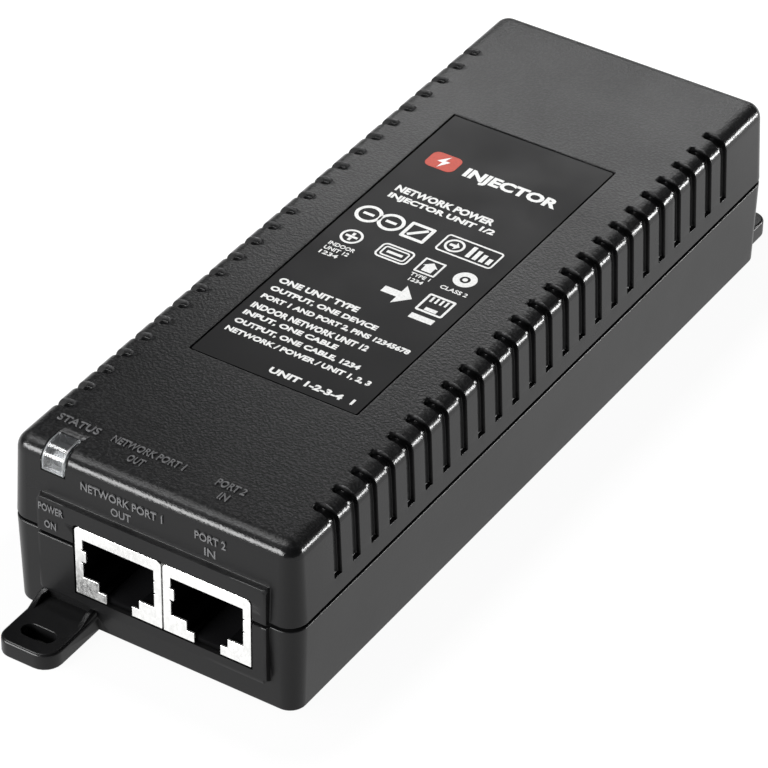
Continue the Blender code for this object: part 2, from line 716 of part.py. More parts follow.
def make_mains_parts():
    make_block("x_capacitor", "capacitor_yellow", (-6.5, 41.3), (17.5, 8.5, 15.0))
    make_block("fuse", "component_black", (9.0, 41.3), (8.4, 4.2, 7.6))
    make_disc("varistor", "capacitor_blue", (18.0, 39.3), 4.6, 4.0)
    make_wound_part("line_filter_core", "line_filter_coil", "copper_wire", (-11.5, 26.5), (20.0, 17.0, 17.0), 4.5)
    make_block("bridge_rectifier", "component_black", (-9.5, 13.0), (19.0, 3.6, 13.0))
    make_lying_can("bulk_capacitor", "capacitor_sleeve", (12.6, 4.5), 8.5, 28.0)
    make_disc("y_capacitor", "capacitor_blue", (18.0, -5.5), 3.8, 3.6)


def make_conversion_parts():
    make_heatsink("primary_heatsink", (-21.6, 0.0), 22.0, 19.0, 5, 1)
    make_power_package("switching_transistor", (-17.6, 0.0))
    make_wound_part("transformer_core", "transformer_coil", "winding_tape", (-1.5, -12.0), (26.0, 23.0, 20.5), 7.5)
    make_block("optocoupler", "component_black", (-19.0, -17.5), (6.4, 9.0, 3.8))
    make_heatsink("secondary_heatsink", (21.6, -27.0), 20.0, 18.0, 4, -1)
    make_power_package("output_diode", (17.4, -27.0))
    bpy.data.objects["output_diode"].rotation_euler = (0, 0, math.radians(180))
    make_can("output_capacitor_1", "capacitor_sleeve", (-7.5, -30.5), 5.0, 19.5)
    make_can("output_capacitor_2", "capacitor_sleeve", (4.0, -30.5), 5.0, 19.5)
    make_ring_choke("output_inductor", (-17.8, -28.0), 4.6, 8.0)


def make_network_parts():
    for jack, centre in JACK_CENTRES.items():
        make_jack_shield(f"jack_shield_{jack}", centre)
        make_jack_body(f"jack_body_{jack}", centre)
        make_jack_contacts(f"jack_contacts_{jack}", centre)
        make_block(f"data_transformer_{jack}", "component_black", (centre * 0.85, -44.2), (12.6, 9.4, 5.8))
    make_block("power_controller_chip", "component_black", (-18.4, -37.4), (7.6, 7.4, 1.6), 0.2)


def main():
    clear_scene()
    make_housings(jack_window(), inlet_window())
    make_screws()
    make_label()
    make_light_pipe()
    make_board()
    make_status_lamp()
    make_inlet()
    make_mains_parts()
    make_conversion_parts()
    make_network_parts()


main()
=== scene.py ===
"""Looks of a Power-over-Ethernet injector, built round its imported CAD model.

Sizes are in millimetres; MM turns them into metres when a piece is made. Z is up, the jacks face -Y and the
origin is the middle of the underside. Driving sizes come from the CAD frame; the rest is named below."""

import json
from math import ceil, cos, pi, radians, sin

import bmesh
import bpy
import numpy as np
from mathutils import Matrix, Vector


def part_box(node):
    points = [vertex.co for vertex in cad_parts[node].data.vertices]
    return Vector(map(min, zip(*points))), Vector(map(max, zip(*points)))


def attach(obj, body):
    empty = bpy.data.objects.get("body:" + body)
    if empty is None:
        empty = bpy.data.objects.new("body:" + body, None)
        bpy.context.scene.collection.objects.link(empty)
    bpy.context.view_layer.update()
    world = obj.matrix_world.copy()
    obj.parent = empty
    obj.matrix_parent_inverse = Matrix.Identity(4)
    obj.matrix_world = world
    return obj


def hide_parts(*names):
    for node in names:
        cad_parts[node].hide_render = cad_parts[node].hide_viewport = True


MM = 0.001

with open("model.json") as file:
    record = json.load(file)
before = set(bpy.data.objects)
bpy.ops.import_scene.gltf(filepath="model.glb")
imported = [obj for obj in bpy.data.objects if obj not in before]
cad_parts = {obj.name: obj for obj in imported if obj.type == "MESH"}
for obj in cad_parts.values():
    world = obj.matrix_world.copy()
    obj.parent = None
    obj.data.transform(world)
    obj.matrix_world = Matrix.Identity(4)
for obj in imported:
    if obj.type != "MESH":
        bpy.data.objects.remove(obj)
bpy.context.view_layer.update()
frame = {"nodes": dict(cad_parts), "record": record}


def box_mm(node):
    """(lowest corner, highest corner) of a CAD node in millimetres."""
    low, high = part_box(node)
    return low / MM, high / MM


# Case
LID_LOW, LID_HIGH = box_mm("upper_housing")
TRAY_LOW, TRAY_HIGH = box_mm("lower_housing")
HALF_WIDTH = LID_HIGH.x
HALF_LENGTH = LID_HIGH.y
HEIGHT = LID_HIGH.z
PANEL_FACE = -LID_LOW.y
WALL = 2.2
SEAM = 0.6
TONGUE_HEIGHT = 1.6
TONGUE_INSET = 1.25
SKIRT = 0.95
SEAM_LOW = TRAY_HIGH.z - TONGUE_HEIGHT
SEAM_HIGH = SEAM_LOW + SEAM
LID_DRAFT = 0.55
TRAY_DRAFT = 0.45
CORNER_RADIUS = 3.3
SHOULDER_RADIUS = CORNER_RADIUS - LID_DRAFT
SHOULDER_START = HEIGHT - SHOULDER_RADIUS
SHOULDER_STEPS = 12
CORNER_STEPS = 10
WIDEST_CELL = 6.0
LID_LEVELS = (18.2, 25.0, 27.0)
TRAY_LEVELS = (3.0, 8.0, 11.0, 14.0)
FOOT_RADIUS = 0.4
RIM_RADIUS = 0.25
FLAT_X = HALF_WIDTH - CORNER_RADIUS
FLAT_Y = HALF_LENGTH - CORNER_RADIUS
GAP = 0.3
SHELL_SHARP = 40.0

# Cooling grooves down both long sides
GROOVE_COUNT = 24
GROOVE_PITCH = 5.095
GROOVE_FIRST_Y = -60.25
GROOVE_HALF_WIDTH = 0.95
GROOVE_DEPTH = 0.9
GROOVE_WALL_SHARE = 0.8
GROOVE_FOOT = 20.0
GROOVE_INNER_X = 22.1
GROOVE_EDGE = 0.13

# Raised field round the jacks
PANEL_X = (-20.4, 21.7)
PANEL_Z = (5.1, 23.4)
PANEL_EDGE = 0.08

# Captions, label and light guide
CAPTION_SUNK = 0.12
CAPTION_DEPTH = 0.3
LABEL_LOW, LABEL_HIGH = box_mm("rating_label")
LABEL_SPACE = ((LABEL_LOW.x - GAP, LABEL_LOW.y - GAP), (LABEL_HIGH.x + GAP, LABEL_HIGH.y + GAP))
LABEL_RECESS = 0.8
LABEL_EDGE = 0.07
GUIDE_LOW, GUIDE_HIGH = box_mm("led_light_pipe")
GUIDE_FRONT_Z = 27.7
GUIDE_PROUD = 0.12

# Jacks
JACK_BOXES = {side: box_mm(f"jack_shield_{side}") for side in ("out", "in")}
CAN_WALL = 0.4
CAN_CORNER = 0.8
PLUG_TOP = 10.85
PLUG_HALF_WIDTH = 6.6
PLUG_FLOOR = 3.5
STEP_HALF_WIDTH = 3.75
STEP_FLOOR = 1.75
LATCH_HALF_WIDTH = 2.4
LATCH_FLOOR = 1.1
PLUG_DEPTH = 14.0
TAB_LOW = 6.5
TAB_HIGH = 8.65
TAB_REACH = 0.6
TAB_SLIT = 0.28
CONTACT_COUNT = 8
CONTACT_PITCH = 1.02

# Mains inlet
INLET_LOW, INLET_HIGH = box_mm("inlet_body")
INLET_CHAMFER = 4.0
RECESS_WIDTH = 24.0
RECESS_HEIGHT = 16.0
RECESS_DEPTH = 16.4
PINS = ("line", "neutral", "earth")

# Screw posts and ears
SCREWS = (1, 2, 3, 4)
POST_RADIUS = 3.2
EAR_THICKNESS = 3.0
EAR_EDGE = 0.55
SLOT_LENGTH = 6.0
SLOT_WIDTH = 2.9
FRONT_EAR_X = (-20.8, -10.4)
REAR_EAR_X = (13.6, 24.0)
FRONT_GUSSET = 4.2
REAR_GUSSET = 2.4
GUSSET_TOP = 4.2
GUSSET_WIDTH = 1.0
FRONT_SLOT_Y = -79.95
REAR_SLOT_Y = 75.0

WHITE = (0.68, 0.68, 0.67)


# --- mesh helpers


def new_object(name, data):
    obj = bpy.data.objects.new(name, data)
    bpy.context.scene.collection.objects.link(obj)
    return obj


def make_piece(name, bm, sharp_degrees=35.0, flat_weighted=True):
    """An object from a bmesh in millimetres, smooth except where faces meet at more than the given angle."""
    bmesh.ops.recalc_face_normals(bm, faces=bm.faces)
    mesh = bpy.data.meshes.new(name)
    bm.to_mesh(mesh)
    bm.free()
    mesh.transform(Matrix.Scale(MM, 4))
    obj = new_object(name, mesh)
    smooth(obj, sharp_degrees, flat_weighted)
    return obj


def smooth(obj, sharp_degrees=35.0, flat_weighted=True):
    obj.data.shade_smooth()
    obj.data.set_sharp_from_angle(angle=radians(sharp_degrees))
    if flat_weighted and "flats" not in obj.modifiers:
        weighted = obj.modifiers.new("flats", "WEIGHTED_NORMAL")
        weighted.keep_sharp = True


def settle(obj):
    """Makes the modifiers' result the object's own mesh."""
    graph = bpy.context.evaluated_depsgraph_get()
    made = bpy.data.meshes.new_from_object(obj.evaluated_get(graph))
    obj.modifiers.clear()
    obj.data = made


def bake_normals(obj):
    """Settles the weighted normals at millimetre size: in metres the smallest faces have no weight."""
    obj.data.transform(Matrix.Scale(1 / MM, 4))
    settle(obj)
    obj.data.transform(Matrix.Scale(MM, 4))


def combine(target, helper, operation):
    modifier = target.modifiers.new("shape", "BOOLEAN")
    modifier.operation = operation
    modifier.solver = "EXACT"
    modifier.object = helper
    settle(target)
    bpy.data.objects.remove(helper)


def join(target, bm):
    combine(target, make_piece("addition", bm), "UNION")


def cut(target, bm):
    combine(target, make_piece("cutter", bm), "DIFFERENCE")


def bevel(obj, width, segments=3, angle=40.0):
    """Rounds the object's sharp edges; width is in millimetres."""
    modifier = obj.modifiers.new("edges", "BEVEL")
    modifier.width = width * MM
    modifier.segments = segments
    modifier.limit_method = "ANGLE"
    modifier.angle_limit = radians(angle)
    settle(obj)
    smooth(obj)


def along_axis(pair, along, axis):
    """The point whose two values are the other axes in X, Y, Z order."""
    if axis == "X":
        return (along, *pair)
    if axis == "Y":
        return (pair[0], along, pair[1])
    return (*pair, along)


def loops_of(bm, levels, axis="Z"):
    """Vertices for each level, which is an outline and its place along the axis."""
    return [[bm.verts.new(along_axis(pair, place, axis)) for pair in outline] for outline, place in levels]


def skin(bm, loops):
    """Quads between neighbouring loops of equally many vertices."""
    for lower, upper in zip(loops, loops[1:]):
        for i, vert in enumerate(lower):
            j = (i + 1) % len(lower)
            bm.faces.new((vert, lower[j], upper[j], upper[i]))


def loft(bm, levels, axis="Z"):
    """A closed solid through levels of equally many points, with a flat cap at each end."""
    loops = loops_of(bm, levels, axis)
    skin(bm, loops)
    bm.faces.new(loops[0])
    bm.faces.new(loops[-1])


def built(shape, *sizes, **choices):
    """A new bmesh that holds one shape."""
    bm = bmesh.new()
    shape(bm, *sizes, **choices)
    return bm


def prism(bm, outline, low, high, axis="Z"):
    loft(bm, [(outline, low), (outline, high)], axis)


def band(bm, outer, inner, low, high):
    """A flat ring between two outlines of equally many points."""
    loops = loops_of(bm, ((outer, low), (outer, high), (inner, high), (inner, low)))
    skin(bm, [*loops, loops[0]])


def rectangle(low, high):
    return [(low[0], low[1]), (high[0], low[1]), (high[0], high[1]), (low[0], high[1])]


def arc(centre, radius, start, end, steps):
    """Points on an arc from start to end, in degrees."""
    turns = [radians(start + (end - start) * i / steps) for i in range(steps + 1)]
    return [(centre[0] + radius * cos(a), centre[1] + radius * sin(a)) for a in turns]


def circle(centre, radius, sides=32):
    return arc(centre, radius, 0, 360 * (sides - 1) / sides, sides - 1)


def centred(x, y, half_x, half_y):
    """The lower left and upper right corners of a rectangle round its middle."""
    return (x - half_x, y - half_y), (x + half_x, y + half_y)


def shrunk(low, high, inset):
    """A rectangle's two corners, each drawn in by inset."""
    return (low[0] + inset, low[1] + inset), (high[0] - inset, high[1] - inset)


def rounded(low, high, radii, steps=6):
    """A rectangle whose corners run anticlockwise from the lower left, each with its own radius."""
    if isinstance(radii, (int, float)):
        radii = (radii,) * 4
    outline = []
    inward = ((1, 1), (-1, 1), (-1, -1), (1, -1))
    for i, (corner, turn, radius) in enumerate(zip(rectangle(low, high), inward, radii)):
        centre = (corner[0] + turn[0] * radius, corner[1] + turn[1] * radius)
        outline += arc(centre, radius, 180 + 90 * i, 270 + 90 * i, steps)
    return outline


def box(bm, low, high):
    prism(bm, rectangle(low, high), low[2], high[2])


# --- case shells


def smoothstep(low, high, value):
    share = np.clip((value - low) / (high - low), 0.0, 1.0)
    return share * share * (3.0 - 2.0 * share)


def rectangle_mask(u, v, low, high, radius, edge):
    """1 inside a rounded rectangle and 0 outside, with a soft edge that reaches the same way in and out."""
    half_u, half_v = (high[0] - low[0]) / 2, (high[1] - low[1]) / 2
    past_u = np.abs(u - (low[0] + high[0]) / 2) - half_u + radius
    past_v = np.abs(v - (low[1] + high[1]) / 2) - half_v + radius
    outside = np.hypot(np.maximum(past_u, 0.0), np.maximum(past_v, 0.0))
    distance = outside + np.minimum(np.maximum(past_u, past_v), 0.0) - radius
    return 1.0 - smoothstep(-edge, edge, distance)


def edge_lines(place, edge):
    """Grid lines across a soft edge, closest where it curves most."""
    return [place + share * edge for share in (-1.0, -0.6, 0.0, 0.6, 1.0)]


def grid_lines(reach, lines):
    """The lines within reach of the middle, in order, with more put in where two are far apart."""
    wanted = sorted({round(v, 4) for v in lines if abs(v) < reach - 0.02} | {-reach, reach})
    filled = []
    for low, high in zip(wanted, wanted[1:]):
        count = max(1, ceil((high - low) / WIDEST_CELL))
        filled += [low + (high - low) * i / count for i in range(count)]
    return [*filled, wanted[-1]]


def case_outline(x_lines, y_lines):
    """Points anticlockwise from the front left of the case: an anchor each, and the direction it faces."""
    points = []
    for start, corner, side in (
        (-90, (FLAT_X, -FLAT_Y), [(x, -FLAT_Y) for x in x_lines]),
        (0, (FLAT_X, FLAT_Y), [(FLAT_X, y) for y in y_lines]),
        (90, (-FLAT_X, FLAT_Y), [(x, FLAT_Y) for x in reversed(x_lines)]),
        (180, (-FLAT_X, -FLAT_Y), [(-FLAT_X, y) for y in reversed(y_lines)]),
    ):
        turns = [radians(start + 90 * i / CORNER_STEPS) for i in range(CORNER_STEPS)]
        facing = [(cos(turn), sin(turn)) for turn in turns]
        points += [(anchor, facing[0]) for anchor in side]
        points += [(corner, direction) for direction in facing[1:]]
    return points


def groove_depth(path, y):
    """The grooves' depth, path being the way up the wall and over the shoulder from their foot."""
    end = SHOULDER_START - GROOVE_FOOT + SHOULDER_RADIUS * pi / 2 + FLAT_X - GROOVE_INNER_X
    number = np.clip(np.round((y - GROOVE_FIRST_Y) / GROOVE_PITCH), 0, GROOVE_COUNT - 1)
    across = y - GROOVE_FIRST_Y - number * GROOVE_PITCH
    low, high = (-GROOVE_HALF_WIDTH, 0.0), (GROOVE_HALF_WIDTH, end)
    square = rectangle_mask(across, path, low, high, 0.25, GROOVE_EDGE)
    round_end = rectangle_mask(across, path, low, high, GROOVE_HALF_WIDTH - 0.1, GROOVE_EDGE)
    deepening = smoothstep(SHOULDER_START - GROOVE_FOOT - 2.5, SHOULDER_START - GROOVE_FOOT + 1.5, path)
    depth = GROOVE_DEPTH * (GROOVE_WALL_SHARE + (1.0 - GROOVE_WALL_SHARE) * deepening)
    return depth * np.where(path > end / 2, round_end, square)


def panel_height(x, z, draft):
    """How far the raised field stands out of the front wall, whose own slope it evens out."""
    mask = rectangle_mask(x, z, (PANEL_X[0], PANEL_Z[0]), (PANEL_X[1], PANEL_Z[1]), 0.7, PANEL_EDGE)
    return mask * (PANEL_FACE - HALF_LENGTH + draft)


def label_depth(x, y):
    return LABEL_RECESS * rectangle_mask(x, y, *LABEL_SPACE, 0.4, LABEL_EDGE)


def lid_draft(z):
    return LID_DRAFT * (z - SEAM_HIGH) / (SHOULDER_START - SEAM_HIGH)


def tray_draft(z):
    return TRAY_DRAFT * (SEAM_LOW - z) / (SEAM_LOW - FOOT_RADIUS)


def quarter_turn(steps):
    """(cosine, sine) at even steps over a quarter of a turn."""
    turns = [pi / 2 * i / steps for i in range(steps + 1)]
    return [(cos(turn), sin(turn)) for turn in turns]


def rim_rows(seam, way):
    """The eased rim beside the seam, whose path lies below every groove."""
    return [(RIM_RADIUS * (1 - rise), seam + way * RIM_RADIUS * (1 - level), 1, 0, 0, -5)
            for level, rise in quarter_turn(4)]


def lid_rows():
    """The lid's section from its ceiling, under the rim and up to the flat top. A row says how far the
    outline draws in, its height, how outward divides between level and up, the draft and the path there."""
    rebate = SEAM_LOW + TONGUE_HEIGHT + 0.5
    ceiling = HEIGHT - WALL
    inside = ((LID_DRAFT + WALL, ceiling), (lid_draft(rebate) + WALL, rebate),
              (lid_draft(rebate) + SKIRT, rebate), (SKIRT, SEAM_HIGH))
    rows = [(*pair, 0, 0, 0, 0) for pair in inside] + rim_rows(SEAM_HIGH, 1)
    heights = edge_lines(GROOVE_FOOT, GROOVE_EDGE) + edge_lines(PANEL_Z[1], PANEL_EDGE)
    heights += [*LID_LEVELS, GROOVE_FOOT + 0.6, PANEL_Z[1] - 0.7, SHOULDER_START]
    for z in sorted(heights):
        rows.append((lid_draft(z), z, 1, 0, lid_draft(z), z - GROOVE_FOOT))
    for i, (level, rise) in enumerate(quarter_turn(SHOULDER_STEPS)[1:], start=1):
        inset = LID_DRAFT + SHOULDER_RADIUS * (1 - level)
        z = SHOULDER_START + SHOULDER_RADIUS * rise
        path = SHOULDER_START - GROOVE_FOOT + SHOULDER_RADIUS * pi / 2 * i / SHOULDER_STEPS
        rows.append((inset, z, level, rise, LID_DRAFT, path))
    return rows


def tray_rows():
    """The tray's section from its floor inside, over the tongue and down to the underside."""
    top = SEAM_LOW + TONGUE_HEIGHT
    inside = ((tray_draft(WALL) + WALL, WALL), (WALL, SEAM_LOW), (WALL, top), (TONGUE_INSET, top),
              (TONGUE_INSET, SEAM_LOW))
    rows = [(*pair, 0, 0, 0, 0) for pair in inside] + rim_rows(SEAM_LOW, -1)
    heights = [*TRAY_LEVELS, PANEL_Z[0] + 0.7, *edge_lines(PANEL_Z[0], PANEL_EDGE), FOOT_RADIUS]
    for z in sorted(heights, reverse=True):
        rows.append((tray_draft(z), z, 1, 0, tray_draft(z), 0))
    for level, fall in quarter_turn(5)[1:]:
        inset = TRAY_DRAFT + FOOT_RADIUS * (1 - level)
        rows.append((inset, FOOT_RADIUS * (1 - fall), level, -fall, TRAY_DRAFT, 0))
    return rows


def wall_rings(rows, outline, grooved):
    """One ring of points for each row, with the raised field and the grooves worked in."""
    anchors = np.array([anchor for anchor, _ in outline])
    facing = np.array([direction for _, direction in outline])
    front = facing[:, 1] < -0.999
    flank = np.abs(facing[:, 0]) > 0.999
    rings = []
    for inset, z, level, rise, draft, path in rows:
        flat = anchors + facing * (CORNER_RADIUS - inset)
        offset = np.where(front, panel_height(flat[:, 0], z, draft), 0.0) if level else np.zeros(len(flat))
        if grooved and level:
            offset -= np.where(flank, groove_depth(path, flat[:, 1]), 0.0)
        height = np.full((len(flat), 1), z) + (rise * offset)[:, None]
        rings.append(np.hstack([flat + facing * (level * offset)[:, None], height]))
    return rings


def ring_indices(rings):
    """The number of each point, ring by ring."""
    return np.arange(len(rings) * len(rings[0])).reshape(len(rings), -1).tolist()


def ring_faces(indices):
    """Quads between neighbouring rings, as triangles where two corners have run together."""
    faces = []
    for lower, upper in zip(indices, indices[1:]):
        for i in range(len(lower)):
            j = (i + 1) % len(lower)
            corners = list(dict.fromkeys((lower[i], lower[j], upper[j], upper[i])))
            if len(corners) > 2:
                faces.append(corners)
    return faces


def panel_lines():
    """Grid lines at both ends of the raised field."""
    lines = []
    for x in PANEL_X:
        lines += edge_lines(x, PANEL_EDGE) + [x + 0.6, x - 0.6]
    return lines


def lid_mesh():
    """The lid as one closed mesh: rings up the wall, and a grid over the flat top that they run into."""
    x_lines, y_lines = panel_lines(), []
    for x, y in LABEL_SPACE:
        x_lines += edge_lines(x, LABEL_EDGE) + [x - 0.5, x + 0.5]
        y_lines += edge_lines(y, LABEL_EDGE) + [y - 0.5, y + 0.5]
    for i in range(9):
        inner = GROOVE_INNER_X - GROOVE_EDGE + 0.16 * i
        x_lines += [inner, -inner]
    for i in range(GROOVE_COUNT):
        middle = GROOVE_FIRST_Y + i * GROOVE_PITCH
        for edge in (-GROOVE_HALF_WIDTH, GROOVE_HALF_WIDTH):
            y_lines += edge_lines(middle + edge, GROOVE_EDGE)
        y_lines += [middle - 0.4, middle, middle + 0.4]
    x_lines = grid_lines(FLAT_X, x_lines)
    y_lines = grid_lines(FLAT_Y, y_lines)
    outline = case_outline(x_lines, y_lines)
    rows = lid_rows()
    rings = wall_rings(rows[:-1], outline, grooved=True)

    x, y = np.meshgrid(x_lines, y_lines, indexing="ij")
    path = rows[-1][5] + FLAT_X - np.abs(x)
    z = HEIGHT - groove_depth(path, y) - label_depth(x, y)
    top = np.stack([x, y, z], axis=-1).reshape(-1, 3)

    depth = len(y_lines)
    indices = ring_indices(rings)
    first = len(rings) * len(outline)
    corners = [(line_x, line_y) for line_x in x_lines for line_y in y_lines]
    place = {corner: first + i for i, corner in enumerate(corners)}
    indices.append([place[anchor] for anchor, _ in outline])
    faces = ring_faces(indices) + [indices[0][::-1]]
    for i in range(len(x_lines) - 1):
        for j in range(depth - 1):
            corner = first + i * depth + j
            faces.append((corner, corner + depth, corner + depth + 1, corner + 1))
    return mesh_from(np.vstack([*rings, top]), faces)


def tray_mesh():
    """The tray as one closed mesh, with a flat underside."""
    outline = case_outline(grid_lines(FLAT_X, panel_lines()), grid_lines(FLAT_Y, []))
    rings = wall_rings(tray_rows(), outline, grooved=False)
    indices = ring_indices(rings)
    faces = ring_faces(indices) + [indices[0][::-1], indices[-1]]
    return mesh_from(np.vstack(rings), faces)


def mesh_from(points, faces):
    mesh = bpy.data.meshes.new("grid")
    mesh.from_pydata(points.tolist(), [], faces)
    bm = bmesh.new()
    bm.from_mesh(mesh)
    bpy.data.meshes.remove(mesh)
    return bm


def window_space():
    """The opening for both jacks and the one for the inlet."""
    bm = bmesh.new()
    left, right = JACK_BOXES["out"][0].x - GAP, JACK_BOXES["in"][1].x + GAP
    bottom, top = JACK_BOXES["out"][0].z - GAP, JACK_BOXES["out"][1].z + GAP
    outline = rounded((left, bottom), (right, top), (0.05, 0.05, CAN_CORNER, CAN_CORNER), 4)
    prism(bm, outline, -HALF_LENGTH - 3, -HALF_LENGTH + 5, axis="Y")
    prism(bm, inlet_outline(-GAP), HALF_LENGTH - 6, HALF_LENGTH + 3, axis="Y")
    return bm


def guide_space():
    low = (GUIDE_LOW.x - GAP, -HALF_LENGTH - 2, GUIDE_FRONT_Z - GAP)
    return built(box, low, (GUIDE_HIGH.x + GAP, GUIDE_HIGH.y + GAP, HEIGHT + 2))


def screw_centres():
    boxes = [box_mm(f"housing_screw_{number}") for number in SCREWS]
    return [(low + high) / 2 for low, high in boxes]


def screw_posts(low, high):
    bm = bmesh.new()
    for centre in screw_centres():
        prism(bm, circle(centre.xy, POST_RADIUS), low, high)
    return bm


def screw_seats():
    """Sunk seats for the screw heads, with a small lead-in at the mouth."""
    bm = bmesh.new()
    profile = ((3.5, -1.0), (3.1, 0.25), (2.9, 0.45), (2.9, 2.2), (1.45, 2.2), (1.45, SEAM_LOW + 1))
    for centre in screw_centres():
        loft(bm, [(circle(centre.xy, radius), z) for radius, z in profile])
    return bm


def ear_shapes():
    """(x range, y range, corner radii, slot's y) of the front ear and of the rear one."""
    front_y = (TRAY_LOW.y, -HALF_LENGTH + 2)
    rear_y = (HALF_LENGTH - 2, TRAY_HIGH.y)
    return (
        (FRONT_EAR_X, front_y, (2.4, 3.2, 0.6, 0.6), FRONT_SLOT_Y),
        (REAR_EAR_X, rear_y, (0.6, 0.6, 2.4, 3.2), REAR_SLOT_Y),
    )


def ear_plates():
    """Both ears, with rounded upper edges and eased lower ones."""
    bm = bmesh.new()
    profile = [(0.2, 0.0), (0.05, 0.06), (0.0, 0.25)]
    for level, rise in quarter_turn(5):
        profile.append((EAR_EDGE * (1 - level), EAR_THICKNESS - EAR_EDGE * (1 - rise)))
    for ear_x, ear_y, radii, _ in ear_shapes():
        low, high = zip(ear_x, ear_y)
        loft(bm, [(rounded(*shrunk(low, high, inset), [radius - inset for radius in radii]), z)
                  for inset, z in profile])
    return bm


def slot_space():
    """The ears' slots, eased at both mouths."""
    bm = bmesh.new()
    profile = ((0.9, -1.0), (0.18, -0.01), (0.0, 0.25), (0.0, 2.82), (0.04, 2.94), (0.14, 3.01), (0.9, 4.0))
    for ear_x, _, _, slot_y in ear_shapes():
        low, high = centred(sum(ear_x) / 2, slot_y, SLOT_LENGTH / 2, SLOT_WIDTH / 2)
        loft(bm, [(rounded(*shrunk(low, high, -margin), SLOT_WIDTH / 2 + margin - 0.01, 8), z)
                  for margin, z in profile])
    return bm


def make_gussets():
    """A small web at each side of an ear, from its top up to the end wall."""
    bm = bmesh.new()
    for ear_x, end, reach in ((FRONT_EAR_X, -1, FRONT_GUSSET), (REAR_EAR_X, 1, REAR_GUSSET)):
        wall = end * (HALF_LENGTH - 1)
        foot = end * (HALF_LENGTH + reach)
        knee = end * (HALF_LENGTH + 0.31 * reach)
        outline = [(wall, 2.0), (foot, 2.0), (foot, 2.8), (knee, GUSSET_TOP - 0.05), (wall, GUSSET_TOP)]
        for x in (ear_x[0] + 0.1, ear_x[1] - 1.25):
            prism(bm, outline, x, x + GUSSET_WIDTH, axis="X")
    gussets = make_piece("gussets", bm)
    bevel(gussets, 0.2, 2)
    return gussets


def make_lid():
    lid = make_piece("lid_shell", lid_mesh(), SHELL_SHARP)
    join(lid, screw_posts(SEAM_LOW, HEIGHT - WALL + 0.5))
    cut(lid, window_space())
    cut(lid, guide_space())
    smooth(lid, SHELL_SHARP)
    return lid


def make_tray():
    tray = make_piece("tray_shell", tray_mesh(), SHELL_SHARP)
    join(tray, ear_plates())
    combine(tray, make_gussets(), "UNION")
    join(tray, screw_posts(1.0, SEAM_LOW - GAP))
    for space in (window_space(), slot_space(), screw_seats()):
        cut(tray, space)
    smooth(tray, SHELL_SHARP)
    return tray


# --- lettering and print


def words_mesh(words, weight):
    """The words as a flat mesh, one unit high or so, thickened by weight."""
    curve = bpy.data.curves.new("words", "FONT")
    curve.body = words
    curve.offset = weight
    curve.resolution_u = 3
    obj = new_object("words", curve)
    bpy.context.view_layer.update()
    graph = bpy.context.evaluated_depsgraph_get()
    mesh = bpy.data.meshes.new_from_object(obj.evaluated_get(graph))
    bpy.data.objects.remove(obj)
    bpy.data.curves.remove(curve)
    return mesh


def letter(bm, words, corner, width, height, depth, up=(0, 1, 0), weight=0.012):
    """Adds the words as raised solids, from the line's lower left corner; width is its whole length."""
    mesh = words_mesh(words, weight)
    flat = bmesh.new()
    flat.from_mesh(mesh)
    bmesh.ops.remove_doubles(flat, verts=flat.verts, dist=1e-4)
    xs = [vert.co.x for vert in flat.verts]
    ys = [vert.co.y for vert in flat.verts]
    stretch_x = width / (max(xs) - min(xs))
    stretch_y = height / (max(ys) - min(ys))
    right, up = Vector((1, 0, 0)), Vector(up)
    out = right.cross(up)
    for vert in flat.verts:
        across, high = (vert.co.x - min(xs)) * stretch_x, (vert.co.y - min(ys)) * stretch_y
        vert.co = Vector(corner) + right * across + up * high
    raised = bmesh.ops.extrude_face_region(flat, geom=flat.faces[:])
    for item in raised["geom"]:
        if isinstance(item, bmesh.types.BMVert):
            item.co += out * depth
    flat.to_mesh(mesh)
    flat.free()
    bm.from_mesh(mesh)
    bpy.data.meshes.remove(mesh)


def make_captions():
    """Small raised captions on the lid's top, on its front wall and on the raised field."""
    bm = bmesh.new()
    for words, x, y, width in (
        ("STATUS", -22.3, -64.4, 7.6),
        ("NETWORK PORT 1", -12.2, -64.4, 13.2),
        ("OUT", -7.6, -67.0, 2.9),
        ("PORT 2", 6.9, -64.4, 5.2),
        ("IN", 9.0, -67.0, 1.6),
    ):
        letter(bm, words, (x, y, HEIGHT - CAPTION_SUNK), width, 1.5, CAPTION_DEPTH)
    wall = -HALF_LENGTH + lid_draft(27.0)
    for words, x, face, z, width, height in (
        ("NETWORK PORT 1", -12.7, wall, 26.9, 15.0, 1.5),
        ("OUT", -7.2, wall, 24.4, 3.7, 1.5),
        ("PORT 2", 8.2, wall, 26.9, 5.6, 1.5),
        ("IN", 9.9, wall, 24.4, 2.0, 1.5),
        ("POWER", -19.9, -PANEL_FACE, 21.0, 4.6, 1.4),
        ("ON", -18.9, -PANEL_FACE, 17.9, 2.2, 1.4),
    ):
        letter(bm, words, (x, face + CAPTION_SUNK, z), width, height, CAPTION_DEPTH, up=(0, 0, 1))
    return make_piece("raised_captions", bm, 30.0)


PRINT_LOW = LABEL_HIGH.z - 0.01
PRINT_HIGH = LABEL_HIGH.z + 0.03

